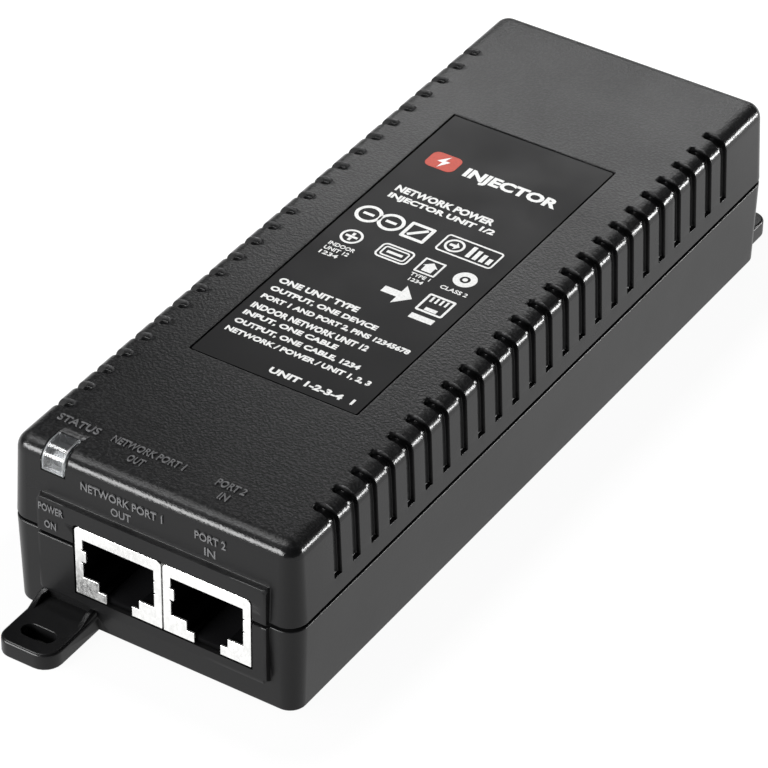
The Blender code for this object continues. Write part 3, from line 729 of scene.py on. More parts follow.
# Print on the label, by height and weight: words, left end, baseline and length of each line
LABEL_LINES = (
    (3.3, 0.045, (("INJECTOR", -5.3, 24.0, 17.6),)),
    (1.75, 0.042, (("NETWORK POWER", -12.3, 15.2, 18.6), ("INJECTOR UNIT 1/2", -12.3, 12.7, 20.1))),
    (1.45, 0.042, (
        ("ONE UNIT TYPE", -14.0, -16.4, 14.9),
        ("OUTPUT, ONE DEVICE", -14.0, -19.0, 20.0),
        ("PORT 1 AND PORT 2, PINS 12345678", -14.0, -21.5, 27.6),
        ("INDOOR NETWORK UNIT 12", -14.0, -24.2, 21.7),
        ("INPUT, ONE CABLE", -14.0, -26.6, 17.5),
        ("OUTPUT, ONE CABLE, 1234", -14.0, -29.1, 23.3),
        ("NETWORK / POWER / UNIT 1, 2, 3", -14.0, -31.6, 26.9),
        ("UNIT 1-2-3-4  1", -2.2, -36.8, 15.5),
    )),
)
# Words under the pictograms
MARK_LINES = (
    (0.95, 0.02, (("INDOOR", -13.1, -3.3, 4.9), ("UNIT 12", -13.1, -4.7, 4.6), ("1234", -13.1, -6.1, 3.4))),
    (0.85, 0.02, (("TYPE 1", 2.4, -3.2, 3.6), ("1234", 2.9, -4.6, 2.6))),
    (0.95, 0.02, (("CLASS 2", 8.2, -3.6, 5.0),)),
)


def ring_mark(bm, centre, radius, stroke):
    band(bm, circle(centre, radius), circle(centre, radius - stroke), PRINT_LOW, PRINT_HIGH)


def frame_mark(bm, low, high, radius, stroke):
    inner = rounded(*shrunk(low, high, stroke), max(radius - stroke, 0.05))
    band(bm, rounded(low, high, radius), inner, PRINT_LOW, PRINT_HIGH)


def bar_mark(bm, low, high):
    prism(bm, rectangle(low, high), PRINT_LOW, PRINT_HIGH)


def shape_mark(bm, centre, size, points):
    """A filled outline given in half-widths and half-heights round its centre."""
    outline = [(centre[0] + x * size[0], centre[1] + y * size[1]) for x, y in points]
    prism(bm, outline, PRINT_LOW, PRINT_HIGH)


def stroke_mark(bm, start, end, stroke):
    """A straight stroke between two points."""
    along = (Vector(end) - Vector(start)).normalized()
    side = Vector((-along.y, along.x)) * stroke / 2
    corners = [Vector(start) - side, Vector(end) - side, Vector(end) + side, Vector(start) + side]
    prism(bm, [tuple(corner) for corner in corners], PRINT_LOW, PRINT_HIGH)


ARROW = ((-1, -0.3), (0.1, -0.3), (0.1, -1), (1, 0), (0.1, 1), (0.1, 0.3), (-1, 0.3))
HOUSE = ((-0.7, -1), (0.7, -1), (0.7, 0.1), (1, 0.1), (0, 1), (-1, 0.1), (-0.7, 0.1))
BOLT = ((-0.15, -1), (0.62, 0.18), (0.08, 0.18), (0.3, 1), (-0.62, -0.12), (-0.05, -0.12))


def first_row_marks(bm):
    """Half rings, a square with a slash, and a frame that holds a disc and a set of bars."""
    stroke = 0.62
    for centre in ((-12.0, 7.2), (-7.7, 7.2)):
        ring_mark(bm, centre, 2.35, stroke)
        bar_mark(bm, (centre[0] - 1.0, centre[1] - 0.3), (centre[0] + 1.0, centre[1] + 0.3))
    frame_mark(bm, (-4.9, 4.9), (-0.3, 9.4), 0.3, stroke)
    stroke_mark(bm, (-3.9, 5.9), (-1.3, 8.4), stroke)
    frame_mark(bm, (1.8, 4.9), (12.4, 9.8), 0.7, 0.32)
    ring_mark(bm, (4.3, 7.35), 1.75, 0.42)
    shape_mark(bm, (4.3, 7.35), (0.9, 1.0), ARROW)
    for i in range(4):
        bar_mark(bm, (7.1 + 1.25 * i, 5.8), (7.85 + 1.25 * i, 8.9 - 0.5 * i))


def second_row_marks(bm):
    """A ring with a plus, a double frame, a house in a frame and a solid disc."""
    ring_mark(bm, (-10.9, 0.4), 1.95, 0.42)
    bar_mark(bm, (-12.0, 0.15), (-9.8, 0.65))
    for z in (-0.7, 0.75):
        bar_mark(bm, (-11.15, z), (-10.65, z + 0.75))
    frame_mark(bm, (-5.6, -1.8), (0.5, 2.2), 1.0, 0.34)
    frame_mark(bm, (-4.9, -1.1), (-0.2, 1.5), 0.6, 0.3)
    bar_mark(bm, (-4.0, -0.1), (-1.1, 0.5))
    frame_mark(bm, (2.2, -1.9), (6.1, 2.2), 0.2, 0.34)
    shape_mark(bm, (4.15, 0.15), (1.3, 1.3), HOUSE)
    band(bm, circle((10.6, 0.4), 2.0), circle((10.6, 0.4), 0.9), PRINT_LOW, PRINT_HIGH)
    prism(bm, circle((10.6, 0.4), 0.45, 16), PRINT_LOW, PRINT_HIGH)


def third_row_marks(bm):
    """A broad arrow, and a socket outline with its contacts over a solid bar."""
    shape_mark(bm, (3.6, -8.6), (2.7, 2.6), ARROW)
    frame_mark(bm, (7.9, -10.5), (12.9, -5.6), 0.4, 0.42)
    for i in range(4):
        bar_mark(bm, (8.85 + 0.9 * i, -7.6), (9.25 + 0.9 * i, -6.2))
    bar_mark(bm, (9.3, -9.9), (11.5, -9.1))
    bar_mark(bm, (8.2, -12.8), (12.5, -11.5))


def print_lines(bm, groups):
    for height, weight, lines in groups:
        for words, x, y, width in lines:
            letter(bm, words, (x, y, PRINT_LOW), width, height, PRINT_HIGH - PRINT_LOW, weight=weight)


def make_print():
    """The white print on the label: headings, pictograms and lines of small words."""
    bm = bmesh.new()
    print_lines(bm, LABEL_LINES)
    first_row_marks(bm)
    second_row_marks(bm)
    third_row_marks(bm)
    print_lines(bm, MARK_LINES)
    return make_piece("label_print", bm, 30.0, flat_weighted=False)


def make_emblem():
    """A plain orange-red tile on the label, with a white bolt."""
    square = built(prism, rounded((-12.6, 24.2), (-7.0, 28.6), 1.2), PRINT_LOW, PRINT_HIGH)
    outline = [(-9.8 + 1.8 * x, 26.4 + 1.8 * y) for x, y in BOLT]
    bolt = built(prism, outline, PRINT_HIGH - 0.01, PRINT_HIGH + 0.02)
    return make_piece("emblem_tile", square, 30.0), make_piece("emblem_bolt", bolt, 30.0)


def make_label():
    top = LABEL_HIGH.z
    profile = ((0.0, LABEL_LOW.z), (0.0, top - 0.06), (0.02, top - 0.02), (0.07, top))
    levels = [(rounded(*shrunk(LABEL_LOW, LABEL_HIGH, inset), 0.3 - inset), z) for inset, z in profile]
    return make_piece("label_plate", built(loft, levels))


def make_guide():
    """The clear lens bent over the front shoulder, with the stem that brings the lamp's light up to it."""
    wall_y = -HALF_LENGTH + LID_DRAFT - GUIDE_PROUD
    top = HEIGHT + GUIDE_PROUD
    radius = SHOULDER_RADIUS + GUIDE_PROUD
    shoulder = arc((wall_y + radius, top - radius), radius, 180, 90, 12)
    stem = (GUIDE_LOW.y + 3.0, GUIDE_LOW.y + 4.6)
    section = [(wall_y, GUIDE_FRONT_Z), *shoulder, (GUIDE_HIGH.y, top), (GUIDE_HIGH.y, top - 1.6)]
    section += [(stem[1], top - 1.6), (stem[1], GUIDE_LOW.z), (stem[0], GUIDE_LOW.z), (stem[0], top - 2.6)]
    section += [(wall_y + 1.7, top - 3.4), (wall_y + 1.7, GUIDE_FRONT_Z)]
    guide = make_piece("light_guide", built(prism, section, GUIDE_LOW.x, GUIDE_HIGH.x, axis="X"))
    bevel(guide, 0.16, 3, 35.0)
    return guide


# --- jacks


def plug_outline(margin, floor, tabbed):
    """The opening for a plug. A tabbed one has a folded tab at the left, and slits at both sides."""
    top = PLUG_TOP + margin
    wide, step, latch = (half + margin for half in (PLUG_HALF_WIDTH, STEP_HALF_WIDTH, LATCH_HALF_WIDTH))
    slits = []
    if tabbed:
        deep = wide + 0.25
        slits = [(wide, TAB_LOW - TAB_SLIT), (deep, TAB_LOW - TAB_SLIT), (deep, TAB_LOW), (wide, TAB_LOW),
                 (wide, TAB_HIGH), (deep, TAB_HIGH), (deep, TAB_HIGH + TAB_SLIT), (wide, TAB_HIGH + TAB_SLIT)]
    lower = [(latch, floor), (latch, STEP_FLOOR - margin), (step, STEP_FLOOR - margin),
             (step, PLUG_FLOOR - margin), (wide, PLUG_FLOOR - margin)]
    right = lower + slits + [(wide, top)]
    left = [(-x, z) for x, z in reversed(right)]
    if tabbed:
        left = [(x + TAB_REACH if x == -wide and z in (TAB_LOW, TAB_HIGH) else x, z) for x, z in left]
    return right + left


def jack_origin(side):
    low, high = JACK_BOXES[side]
    return (low.x + high.x) / 2, low.y, low.z


def contact_places(side):
    first = jack_origin(side)[0] - (CONTACT_COUNT - 1) / 2 * CONTACT_PITCH
    return [first + i * CONTACT_PITCH for i in range(CONTACT_COUNT)]


def placed(outline, origin):
    return [(x + origin[0], z + origin[2]) for x, z in outline]


def make_can(side):
    """The folded steel can: a face with the plug opening, sides, roof and back, open underneath."""
    low, high = JACK_BOXES[side]
    origin = jack_origin(side)
    face = rounded((low.x, low.z), (high.x, high.z), (0.06, 0.06, CAN_CORNER, CAN_CORNER))
    can = make_piece(f"jack_can_{side}", built(prism, face, low.y, high.y, axis="Y"))
    inner_low, inner_high = shrunk(low, high, CAN_WALL)
    cut(can, built(box, (*inner_low, low.z - 1), (*inner_high, high.z - CAN_WALL)))
    opening = placed(plug_outline(0.0, -1.0, True), origin)
    cut(can, built(prism, opening, low.y - 1, low.y + CAN_WALL + 0.2, axis="Y"))
    bevel(can, 0.07, 2, 50.0)
    return can


def make_insert(side):
    """The black moulding inside the can, with a cavity for the plug and ribs between the contacts."""
    low, high = box_mm(f"jack_body_{side}")
    origin = jack_origin(side)
    back = origin[1] + PLUG_DEPTH + 0.7
    insert = make_piece(f"jack_insert_{side}", built(box, low, high))
    cavity = placed(plug_outline(0.25, LATCH_FLOOR, False), origin)
    cut(insert, built(prism, cavity, low.y - 1, back, axis="Y"))
    bm = bmesh.new()
    roof = origin[2] + PLUG_TOP
    for x in contact_places(side):
        box(bm, (x - 0.34, origin[1] + 2.6, roof - 0.2), (x + 0.34, back - 0.3, roof + 0.8))
    cut(insert, bm)
    smooth(insert)
    return insert


def make_springs(side):
    """Spring wires that hang from the roof and bend back towards the rear, on the bar that holds them."""
    low, high = box_mm(f"jack_contacts_{side}")
    half = 0.2
    line = ((low.y, high.z - half), (low.y + 1.0, high.z - half - 0.02),
            (high.y - 1.0, low.z + 2 * half), (high.y - 0.3, low.z + half))
    bm = bmesh.new()
    for x in contact_places(side):
        loft(bm, [(rounded(*centred(x, z, half, half), 0.12, 2), y) for y, z in line], "Y")
    springs = make_piece(f"jack_springs_{side}", bm)
    middle = jack_origin(side)[0]
    reach = CONTACT_COUNT * CONTACT_PITCH / 2
    join(springs, built(box, (middle - reach, high.y - 0.8, low.z), (middle + reach, high.y, low.z + 0.5)))
    smooth(springs)
    return springs


# --- inlet and screws


def inlet_outline(inset, width=None, height=None, chamfer=INLET_CHAMFER):
    """The inlet's face, a rectangle with its two upper corners cut off, drawn in by inset."""
    centre_z = (INLET_LOW.z + INLET_HIGH.z) / 2
    x = (width or INLET_HIGH.x - INLET_LOW.x) / 2 - inset
    z = (height or INLET_HIGH.z - INLET_LOW.z) / 2 - inset
    slant = chamfer - 0.586 * inset
    low, high = centre_z - z, centre_z + z
    return [(-x, low), (x, low), (x, high - slant), (x - slant, high), (slant - x, high), (-x, high - slant)]


def inlet_levels(profile, **sizes):
    return [(inlet_outline(inset, **sizes), y) for inset, y in profile]


def make_inlet():
    """The inlet's moulding, with eased edges, a recess with a lead-in and slots for the pins."""
    rear = INLET_HIGH.y
    profile = ((0.0, INLET_LOW.y), (0.0, rear - 0.4), (0.12, rear - 0.12), (0.4, rear))
    moulding = make_piece("inlet_moulding", built(loft, inlet_levels(profile), "Y"))
    floor = rear - RECESS_DEPTH
    profile = ((0.0, floor), (0.0, rear - 0.5), (-0.5, rear + 0.02), (-0.9, rear + 1))
    sizes = {"width": RECESS_WIDTH, "height": RECESS_HEIGHT, "chamfer": INLET_CHAMFER - 1}
    cut(moulding, built(loft, inlet_levels(profile, **sizes), "Y"))
    bm = bmesh.new()
    for name in PINS:
        low, high = box_mm(f"inlet_{name}_pin")
        box(bm, (low.x - GAP, INLET_LOW.y - 1, low.z - GAP), (high.x + GAP, floor + 1, high.z + GAP))
    cut(moulding, bm)
    smooth(moulding, 30.0)
    return moulding


def make_blade(name):
    """A plated blade with eased edges and a rounded tip."""
    low, high = box_mm(f"inlet_{name}_pin")
    tip = high.y
    profile = ((0.0, low.y), (0.0, tip - 1.6), (0.12, tip - 0.8), (0.35, tip - 0.25), (0.65, tip))
    levels = [(rounded(*shrunk(low.xz, high.xz, inset), 0.3), y) for inset, y in profile]
    return make_piece(f"inlet_blade_{name}", built(loft, levels, "Y"))


def make_screw(number):
    """A pan-head screw with a cross recess, its head facing down out of its seat."""
    low, high = box_mm(f"housing_screw_{number}")
    x, y = (low.x + high.x) / 2, (low.y + high.y) / 2
    head = high.x - x
    profile = ((0.5 * head, low.z), (0.75 * head, low.z + 0.05), (0.93 * head, low.z + 0.25),
               (head, low.z + 0.7), (head, low.z + 1.6),
               (1.2, low.z + 1.6), (1.15, high.z - 1.2), (0.35, high.z))
    turned = built(loft, [(circle((x, y), radius), z) for radius, z in profile])
    screw = make_piece(f"case_screw_{number}", turned)
    slot = ((1.7, 0.42, low.z - 0.2), (0.85, 0.3, low.z + 1.2))
    for upright in (False, True):
        levels = []
        for reach, half, z in slot:
            sizes = (half, reach) if upright else (reach, half)
            levels.append((rectangle(*centred(x, y, *sizes)), z))
        cut(screw, built(loft, levels))
    smooth(screw)
    return screw


# --- materials


def fill(tree, made, inputs):
    """Sets a node's inputs; one whose value is a socket is linked to it."""
    for name, value in inputs.items():
        if isinstance(value, bpy.types.NodeSocket):
            tree.links.new(value, made.inputs[name])
        else:
            made.inputs[name].default_value = value


def node(tree, kind, inputs, **settings):
    made = tree.nodes.new("ShaderNode" + kind)
    for name, value in settings.items():
        setattr(made, name, value)
    fill(tree, made, inputs)
    return made


def connect(made, **inputs):
    """Sets or links the shader's inputs, named with underscores for spaces."""
    named = {name.replace("_", " "): value for name, value in inputs.items()}
    fill(made.node_tree, made.node_tree.nodes["Principled BSDF"], named)
    return made


def start_material(name, colour, roughness, metallic=0.0, ior=1.45):
    """A new material and its node tree."""
    made = bpy.data.materials.new(name)
    made.use_nodes = True
    made.diffuse_color = (*colour, 1.0)
    connect(made, Base_Color=(*colour, 1.0), Roughness=roughness, Metallic=metallic, IOR=ior)
    return made, made.node_tree


def position(tree):
    return node(tree, "TexCoord", {}).outputs["Object"]


def noise(tree, per_mm, detail=2.0, roughness=0.5, vector=None):
    """Noise with about so many features per millimetre."""
    place = vector or position(tree)
    inputs = {"Vector": place, "Scale": per_mm / MM, "Detail": detail, "Roughness": roughness}
    return node(tree, "TexNoise", inputs).outputs["Fac"]


def map_range(tree, value, low, high, to_low, to_high):
    inputs = {"Value": value, "From Min": low, "From Max": high, "To Min": to_low, "To Max": to_high}
    return node(tree, "MapRange", inputs, clamp=True).outputs["Result"]


def spread(tree, noise_value, low, high):
    """Noise, which keeps to the middle of its range, stretched from low to high."""
    return map_range(tree, noise_value, 0.3, 0.7, low, high)


def arithmetic(tree, operation, *values):
    return node(tree, "Math", dict(enumerate(values)), operation=operation).outputs["Value"]


def multiply(tree, first, second):
    return arithmetic(tree, "MULTIPLY", first, second)


def add(tree, first, second):
    return arithmetic(tree, "ADD", first, second)


def vectors(tree, operation, *values, output="Vector"):
    return node(tree, "VectorMath", dict(enumerate(values)), operation=operation).outputs[output]


def mix_colour(tree, share, first, second):
    """Between two plain colours, by share."""
    ramp = tree.nodes.new("ShaderNodeValToRGB")
    ramp.color_ramp.elements[0].color = (*first, 1.0)
    ramp.color_ramp.elements[1].color = (*second, 1.0)
    tree.links.new(share, ramp.inputs["Fac"])
    return ramp.outputs["Color"]


def bump(tree, height, distance, strength=1.0, below=None):
    """A bump, its full height in millimetres; strength may be a socket, and below is another bump."""
    inputs = {"Height": height, "Distance": distance * MM, "Strength": strength}
    if below is not None:
        inputs["Normal"] = below
    return node(tree, "Bump", inputs).outputs["Normal"]


def case_plastic(name, dark, light):
    """Black moulded plastic: satin walls, glossier shoulders and a spark-eroded grain on the top."""
    made, tree = start_material(name, dark, 0.28, ior=1.3)
    place = position(tree)
    height = node(tree, "SeparateXYZ", {"Vector": place}).outputs["Z"]
    on_shoulder = map_range(tree, height, (SHOULDER_START + 0.2) * MM, (SHOULDER_START + 0.8) * MM, 0.0, 1.0)
    on_top = map_range(tree, height, (HEIGHT - 0.9) * MM, (HEIGHT - 0.25) * MM, 0.0, 1.0)
    grain = noise(tree, 2.2, 2.0, 0.55)
    pits = noise(tree, 7.0, 1.0, 0.5)
    haze = noise(tree, 0.05, 3.0, 0.6)
    grain_step = spread(tree, grain, 0.0, 1.0)
    depth = add(tree, map_range(tree, on_shoulder, 0.0, 1.0, 0.06, 0.22), multiply(tree, on_top, 0.34))
    grained = bump(tree, grain_step, 0.06, depth)
    surface = bump(tree, pits, 0.008, 0.8, below=grained)
    speck = multiply(tree, map_range(tree, grain, 0.45, 0.7, 0.0, 1.0), on_top)
    colour = mix_colour(tree, speck, dark, light)
    gloss = map_range(tree, on_shoulder, 0.0, 1.0, 0.0, -0.1)
    matt = multiply(tree, on_top, 0.2)
    rough = add(tree, add(tree, spread(tree, haze, 0.27, 0.34), gloss), matt)
    return connect(made, Base_Color=colour, Roughness=rough, Normal=surface)


def label_film(name):
    """Dark matt film with a fine tooth and slight cloudiness."""
    made, tree = start_material(name, (0.007, 0.007, 0.0074), 0.5, ior=1.2)
    tooth = noise(tree, 6.0, 2.0)
    cloud = noise(tree, 0.09, 3.0)
    colour = mix_colour(tree, cloud, (0.005, 0.005, 0.0053), (0.009, 0.009, 0.0094))
    rough = spread(tree, cloud, 0.44, 0.56)
    return connect(made, Base_Color=colour, Roughness=rough, Normal=bump(tree, tooth, 0.006))


def ink(name, colour):
    """Printing ink, a little uneven where it covers the film."""
    made, tree = start_material(name, colour, 0.55)
    cover = noise(tree, 2.6, 3.0, 0.6)
    thin = tuple(0.8 * value for value in colour)
    tint = mix_colour(tree, map_range(tree, cover, 0.3, 0.6, 0.0, 1.0), thin, colour)
    return connect(made, Base_Color=tint, Normal=bump(tree, cover, 0.008))


def clear_plastic(name):
    """Clear acrylic with faint flow marks, frosted along its sides and at its lower end."""
    made, tree = start_material(name, (0.8, 0.82, 0.84), 0.08, ior=1.49)
    middle = (GUIDE_LOW.x + GUIDE_HIGH.x) / 2
    half = (GUIDE_HIGH.x - GUIDE_LOW.x) / 2
    x, _, z = node(tree, "SeparateXYZ", {"Vector": position(tree)}).outputs
    across = arithmetic(tree, "ABSOLUTE", add(tree, x, -middle * MM))
    side = map_range(tree, across, (half - 0.4) * MM, (half - 0.2) * MM, 0.0, 1.0)
    foot = map_range(tree, z, (GUIDE_FRONT_Z + 0.25) * MM, (GUIDE_FRONT_Z + 0.5) * MM, 1.0, 0.0)
    frosted = arithmetic(tree, "MAXIMUM", side, foot)
    flow = noise(tree, 0.5, 2.0)
    clear = map_range(tree, frosted, 0.0, 1.0, 0.97, 0.9)
    rough = add(tree, spread(tree, flow, 0.05, 0.18), multiply(tree, frosted, 0.25))
    return connect(made, Transmission_Weight=clear, Roughness=rough, Normal=bump(tree, flow, 0.02))


def brushed_metal(name, colour, roughness, stretch, worn=0.75, depth=0.004):
    """Metal with fine marks along one axis and slight staining."""
    made, tree = start_material(name, colour, roughness, metallic=1.0)
    squeezed = node(tree, "Mapping", {"Vector": position(tree), "Scale": stretch}).outputs["Vector"]
    marks = noise(tree, 1.2, 3.0, 0.6, vector=squeezed)
    stain = noise(tree, 0.25, 3.0, 0.6)
    dull = tuple(worn * value for value in colour)
    tint = mix_colour(tree, map_range(tree, stain, 0.3, 0.62, 0.0, 1.0), dull, colour)
    rough = spread(tree, marks, roughness * 0.75, roughness * 1.3)
    return connect(made, Base_Color=tint, Roughness=rough, Normal=bump(tree, marks, depth))


def moulded(name, colour, roughness, per_mm=2.2, depth=0.02, ior=1.45, specular=0.5):
    """Moulded plastic or resin with a fine tooth and uneven gloss."""
    made, tree = start_material(name, colour, roughness, ior=ior)
    tooth = noise(tree, per_mm, 2.0)
    cloud = noise(tree, 0.12, 3.0)
    dark = tuple(0.8 * value for value in colour)
    light = tuple(min(1.0, 1.15 * value) for value in colour)
    rough = spread(tree, cloud, roughness * 0.85, roughness * 1.15)
    return connect(made, Base_Color=mix_colour(tree, cloud, dark, light), Roughness=rough,
                   Normal=bump(tree, tooth, depth), Specular_IOR_Level=specular)


def laminate(name):
    """Green board laminate: solder mask over a pattern of tracks, with the weave just showing."""
    made, tree = start_material(name, (0.02, 0.16, 0.07), 0.4)
    tracks = node(tree, "TexBrick", {
        "Vector": position(tree), "Scale": 90.0, "Mortar Size": 0.03, "Mortar": (0.05, 0.26, 0.12, 1.0),
        "Color1": (0.012, 0.11, 0.045, 1.0), "Color2": (0.016, 0.14, 0.06, 1.0)})
    weave = node(tree, "TexChecker", {"Vector": position(tree), "Scale": 1400.0}).outputs["Fac"]
    raised = bump(tree, tracks.outputs["Fac"], 0.03)
    return connect(made, Base_Color=tracks.outputs["Color"], Normal=bump(tree, weave, 0.004, below=raised))


def wound(name, colour, turn_mm, metallic):
    """A winding: turns that follow one another along Y, with a slight change of tint from one to the next."""
    made, tree = start_material(name, colour, 0.38, metallic=metallic)
    inputs = {"Vector": position(tree), "Scale": 0.314 / (turn_mm * MM), "Distortion": 0.4, "Detail": 1.0}
    wave = node(tree, "TexWave", inputs, bands_direction="Y")
    dark = tuple(0.45 * value for value in colour)
    tint = mix_colour(tree, wave.outputs["Fac"], dark, colour)
    return connect(made, Base_Color=tint, Normal=bump(tree, wave.outputs["Fac"], 0.15))


def sleeve(name, colour, stripe):
    """Shrink sleeve on a capacitor, with one pale stripe down its side."""
    made, tree = start_material(name, colour, 0.32)
    wave = node(tree, "TexWave", {"Vector": position(tree), "Scale": 22.0}, bands_direction="X")
    edge = map_range(tree, wave.outputs["Fac"], 0.93, 0.95, 0.0, 1.0)
    wrinkle = noise(tree, 0.4, 3.0)
    return connect(made, Base_Color=mix_colour(tree, edge, colour, stripe), Normal=bump(tree, wrinkle, 0.05))


def lamp_lens(name):
    """Tinted diffusing lens of the status lamp."""
    made, tree = start_material(name, (0.25, 0.75, 0.3), 0.25)
    tint = mix_colour(tree, noise(tree, 1.0, 3.0), (0.18, 0.6, 0.22), (0.34, 0.85, 0.4))
    return connect(made, Base_Color=tint, Transmission_Weight=0.5)


def make_materials():
    """One finish for each of the record's material slots."""
    makers = {
        "case_plastic": (case_plastic, (0.0038, 0.0038, 0.004), (0.016, 0.016, 0.0165)),
        "label_film": (label_film,),
        "clear_plastic": (clear_plastic,),
        "tinned_steel": (brushed_metal, (0.87, 0.87, 0.86), 0.36, (2.0, 1.0, 1.0), 0.95, 0.001),
        "jack_plastic": (moulded, (0.002, 0.002, 0.0022), 0.6, 3.0, 0.02, 1.12, 0.1),
        "gold_plate": (brushed_metal, (0.83, 0.62, 0.24), 0.22, (1.0, 0.2, 1.0)),
        "screw_steel": (brushed_metal, (0.5, 0.5, 0.52), 0.34, (1.0, 1.0, 4.0)),
        "board_laminate": (laminate,),
        "led_lens": (lamp_lens,),
        "nickel_pin": (brushed_metal, (0.68, 0.66, 0.62), 0.25, (3.0, 0.3, 3.0)),
        "component_black": (moulded, (0.018, 0.018, 0.019), 0.45, 2.6),
        "capacitor_yellow": (moulded, (0.75, 0.55, 0.1), 0.4, 1.2),
        "capacitor_blue": (moulded, (0.08, 0.22, 0.55), 0.35, 1.0, 0.05),
        "capacitor_sleeve": (sleeve, (0.05, 0.06, 0.09), (0.55, 0.57, 0.6)),
        "ferrite": (moulded, (0.09, 0.09, 0.1), 0.7, 3.2, 0.04),
        "copper_wire": (wound, (0.72, 0.36, 0.18), 0.8, 1.0),
        "winding_tape": (wound, (0.8, 0.66, 0.15), 3.0, 0.0),
        "aluminium": (brushed_metal, (0.7, 0.71, 0.73), 0.4, (4.0, 0.4, 4.0)),
    }
    return {name: maker(name, *looks) for name, (maker, *looks) in makers.items()}


FINISHES = make_materials()


# --- assembly


def install(piece, slot_name, *nodes, finish=None):
    """The piece rides on the frame in its slot's finish or the one given, and stands for its CAD nodes."""
    bake_normals(piece)
    piece.data.materials.clear()
    piece.data.materials.append(finish or FINISHES[slot_name])
    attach(piece, "root")
    if nodes:
        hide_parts(*nodes)


def finish_inner_nodes():
    """The board and the parts on it stay CAD nodes, and take the detailed finish of their own slot."""
    for subpart in frame["record"]["subparts"]:
        obj = frame["nodes"][subpart["node"]]
        if obj.hide_render:
            continue
        obj.data.materials.clear()
        obj.data.materials.append(FINISHES[subpart["material_slot"]])


def build_object():
    install(make_lid(), "case_plastic", "upper_housing")
    install(make_tray(), "case_plastic", "lower_housing")
    # Painted highlight: the captions take a lighter copy of the case plastic, so their letters read as
    # glints.
    raised = case_plastic("caption_plastic_painted_highlight", (0.085, 0.085, 0.087), (0.11, 0.11, 0.112))
    install(make_captions(), "case_plastic", finish=raised)
    install(make_label(), "label_film", "rating_label")
    white = ink("white_ink", WHITE)
    install(make_print(), "label_film", finish=white)
    tile, bolt = make_emblem()
    install(tile, "label_film", finish=ink("warm_ink", (0.4, 0.035, 0.014)))
    install(bolt, "label_film", finish=white)
    install(make_guide(), "clear_plastic", "led_light_pipe")
    for side in JACK_BOXES:
        install(make_can(side), "tinned_steel", f"jack_shield_{side}")
        install(make_insert(side), "jack_plastic", f"jack_body_{side}")
        install(make_springs(side), "gold_plate", f"jack_contacts_{side}")
    install(make_inlet(), "component_black", "inlet_body")
    for name in PINS:
        install(make_blade(name), "nickel_pin", f"inlet_{name}_pin")
    for number in SCREWS:
        install(make_screw(number), "screw_steel", f"housing_screw_{number}")
    finish_inner_nodes()


# --- camera, floor and lights

AZIMUTH = radians(32.415)
ELEVATION = radians(37.357)
ROLL = radians(-0.61)
CAMERA_DISTANCE = 741.02
AIM_OFFSET = (3.615, 6.649)
AIM_HEIGHT = 15.0
LENS = 214.65
SENSOR = 36.0
# Floor glow beside the case and far from it; the lower glow beside the case is a painted contact shadow.
FLOOR_GLOW_SHADED_NEAR_CASE = (0.955, 1.35)


def view_axes():
    """The camera's right, up and back directions."""
    back = Vector((sin(AZIMUTH) * cos(ELEVATION), -cos(AZIMUTH) * cos(ELEVATION), sin(ELEVATION)))
    level = Vector((0, 0, 1)).cross(back).normalized()
    raised = back.cross(level)
    right = level * cos(ROLL) - raised * sin(ROLL)
    up = level * sin(ROLL) + raised * cos(ROLL)
    return right, up, back


def make_camera():
    right, up, back = view_axes()
    centre = Vector((0, 0, AIM_HEIGHT)) - right * AIM_OFFSET[0] - up * AIM_OFFSET[1] + back * CAMERA_DISTANCE
    data = bpy.data.cameras.new("camera")
    data.lens = LENS
    data.sensor_width = SENSOR
    data.clip_start = 0.01
    data.clip_end = 20.0
    camera = new_object("camera", data)
    turn = Matrix((right, up, back)).transposed().to_4x4()
    camera.matrix_world = Matrix.Translation(centre * MM) @ turn
    bpy.context.scene.camera = camera


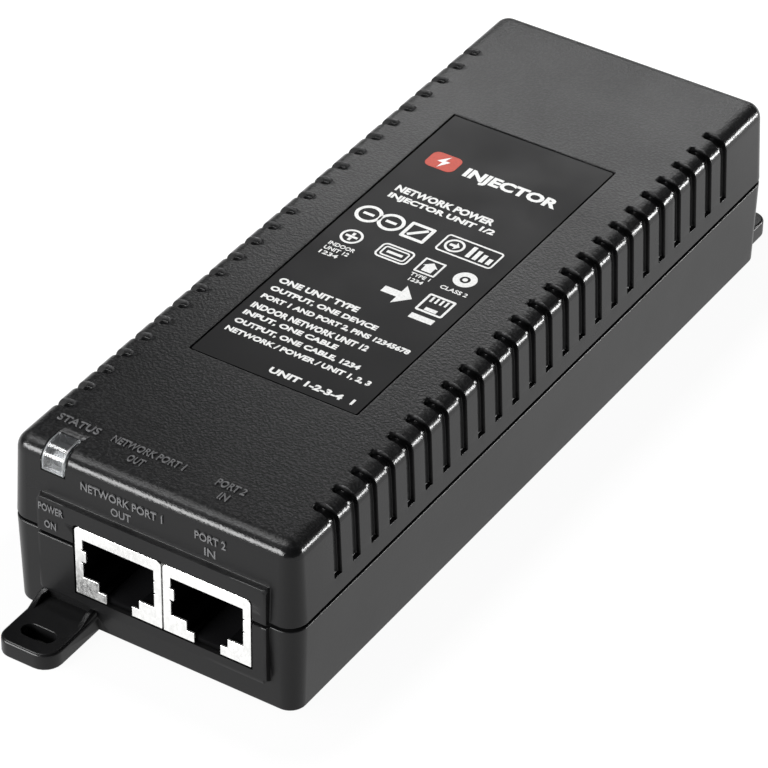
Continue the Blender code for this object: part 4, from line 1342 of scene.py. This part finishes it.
def outside_case(tree):
    """How far a point of the floor lies from the case's outline."""
    reach = (HALF_WIDTH * MM, HALF_LENGTH * MM, 0.0)
    past = vectors(tree, "SUBTRACT", vectors(tree, "ABSOLUTE", position(tree)), reach)
    return vectors(tree, "LENGTH", vectors(tree, "MAXIMUM", past, (0.0, 0.0, 0.0)), output="Value")


def make_floor():
    """A pale sweep that glows a little itself, so that shadows on it stay soft. Its glow is turned down near
    the case as a painted contact shadow, and off under the ears' slots as painted shade.
    """
    bm = bmesh.new()
    bmesh.ops.create_circle(bm, cap_ends=True, radius=4000, segments=96)
    floor = make_piece("floor", bm, flat_weighted=False)
    made, tree = start_material("floor_paint", (0.02, 0.02, 0.02), 0.8)
    # Painted contact shadow: the glow falls off towards the case's outline.
    glow_with_painted_shade = map_range(tree, outside_case(tree), 8.0 * MM, 70.0 * MM, *FLOOR_GLOW_SHADED_NEAR_CASE)
    # Painted shade: the floor under each ear's slot does not glow, so it shows dark through the slot.
    for ear_x, _, _, slot_y in ear_shapes():
        centre = (sum(ear_x) / 2 * MM, slot_y * MM, 0.0)
        away = vectors(tree, "DISTANCE", position(tree), centre, output="Value")
        clear = map_range(tree, away, 3.2 * MM, 4.2 * MM, 0.0, 1.0)
        glow_with_painted_shade = multiply(tree, clear, glow_with_painted_shade)
    connect(made, Specular_IOR_Level=0.0, Emission_Color=(1.0, 1.0, 1.0, 1.0), Emission_Strength=glow_with_painted_shade)
    floor.data.materials.append(made)


def area_light(name, place, target, size, power):
    """A soft box at place that faces target, both in millimetres."""
    data = bpy.data.lights.new(name, "AREA")
    data.shape = "RECTANGLE"
    data.size, data.size_y = size[0] * MM, size[1] * MM
    data.energy = power
    light = new_object(name, data)
    light.location = Vector(place) * MM
    light.rotation_mode = "QUATERNION"
    light.rotation_quaternion = (Vector(place) - Vector(target)).to_track_quat("Z", "Y")
    light.visible_camera = False


def make_lights():
    area_light("rear_box", (-45, 132, 97), (0, 60, 31), (140, 44), 0.13)
    area_light("front_left_strip", (-390, -770, 265), (0, -72, 30), (700, 260), 18.0)
    area_light("left_overhead_box", (-400, -180, 800), (0, -72, 30), (260, 350), 5.5)
    area_light("rear_right_strip", (680, 620, 60), (0, 0, 28), (500, 90), 9.5)
    world = bpy.data.worlds.new("studio")
    world.use_nodes = True
    background = world.node_tree.nodes["Background"]
    background.inputs["Color"].default_value = (0.9, 0.92, 1.0, 1.0)
    background.inputs["Strength"].default_value = 0.05
    bpy.context.scene.world = world
    bpy.context.scene.view_settings.view_transform = "Standard"


make_camera()
build_object()
make_floor()
make_lights()
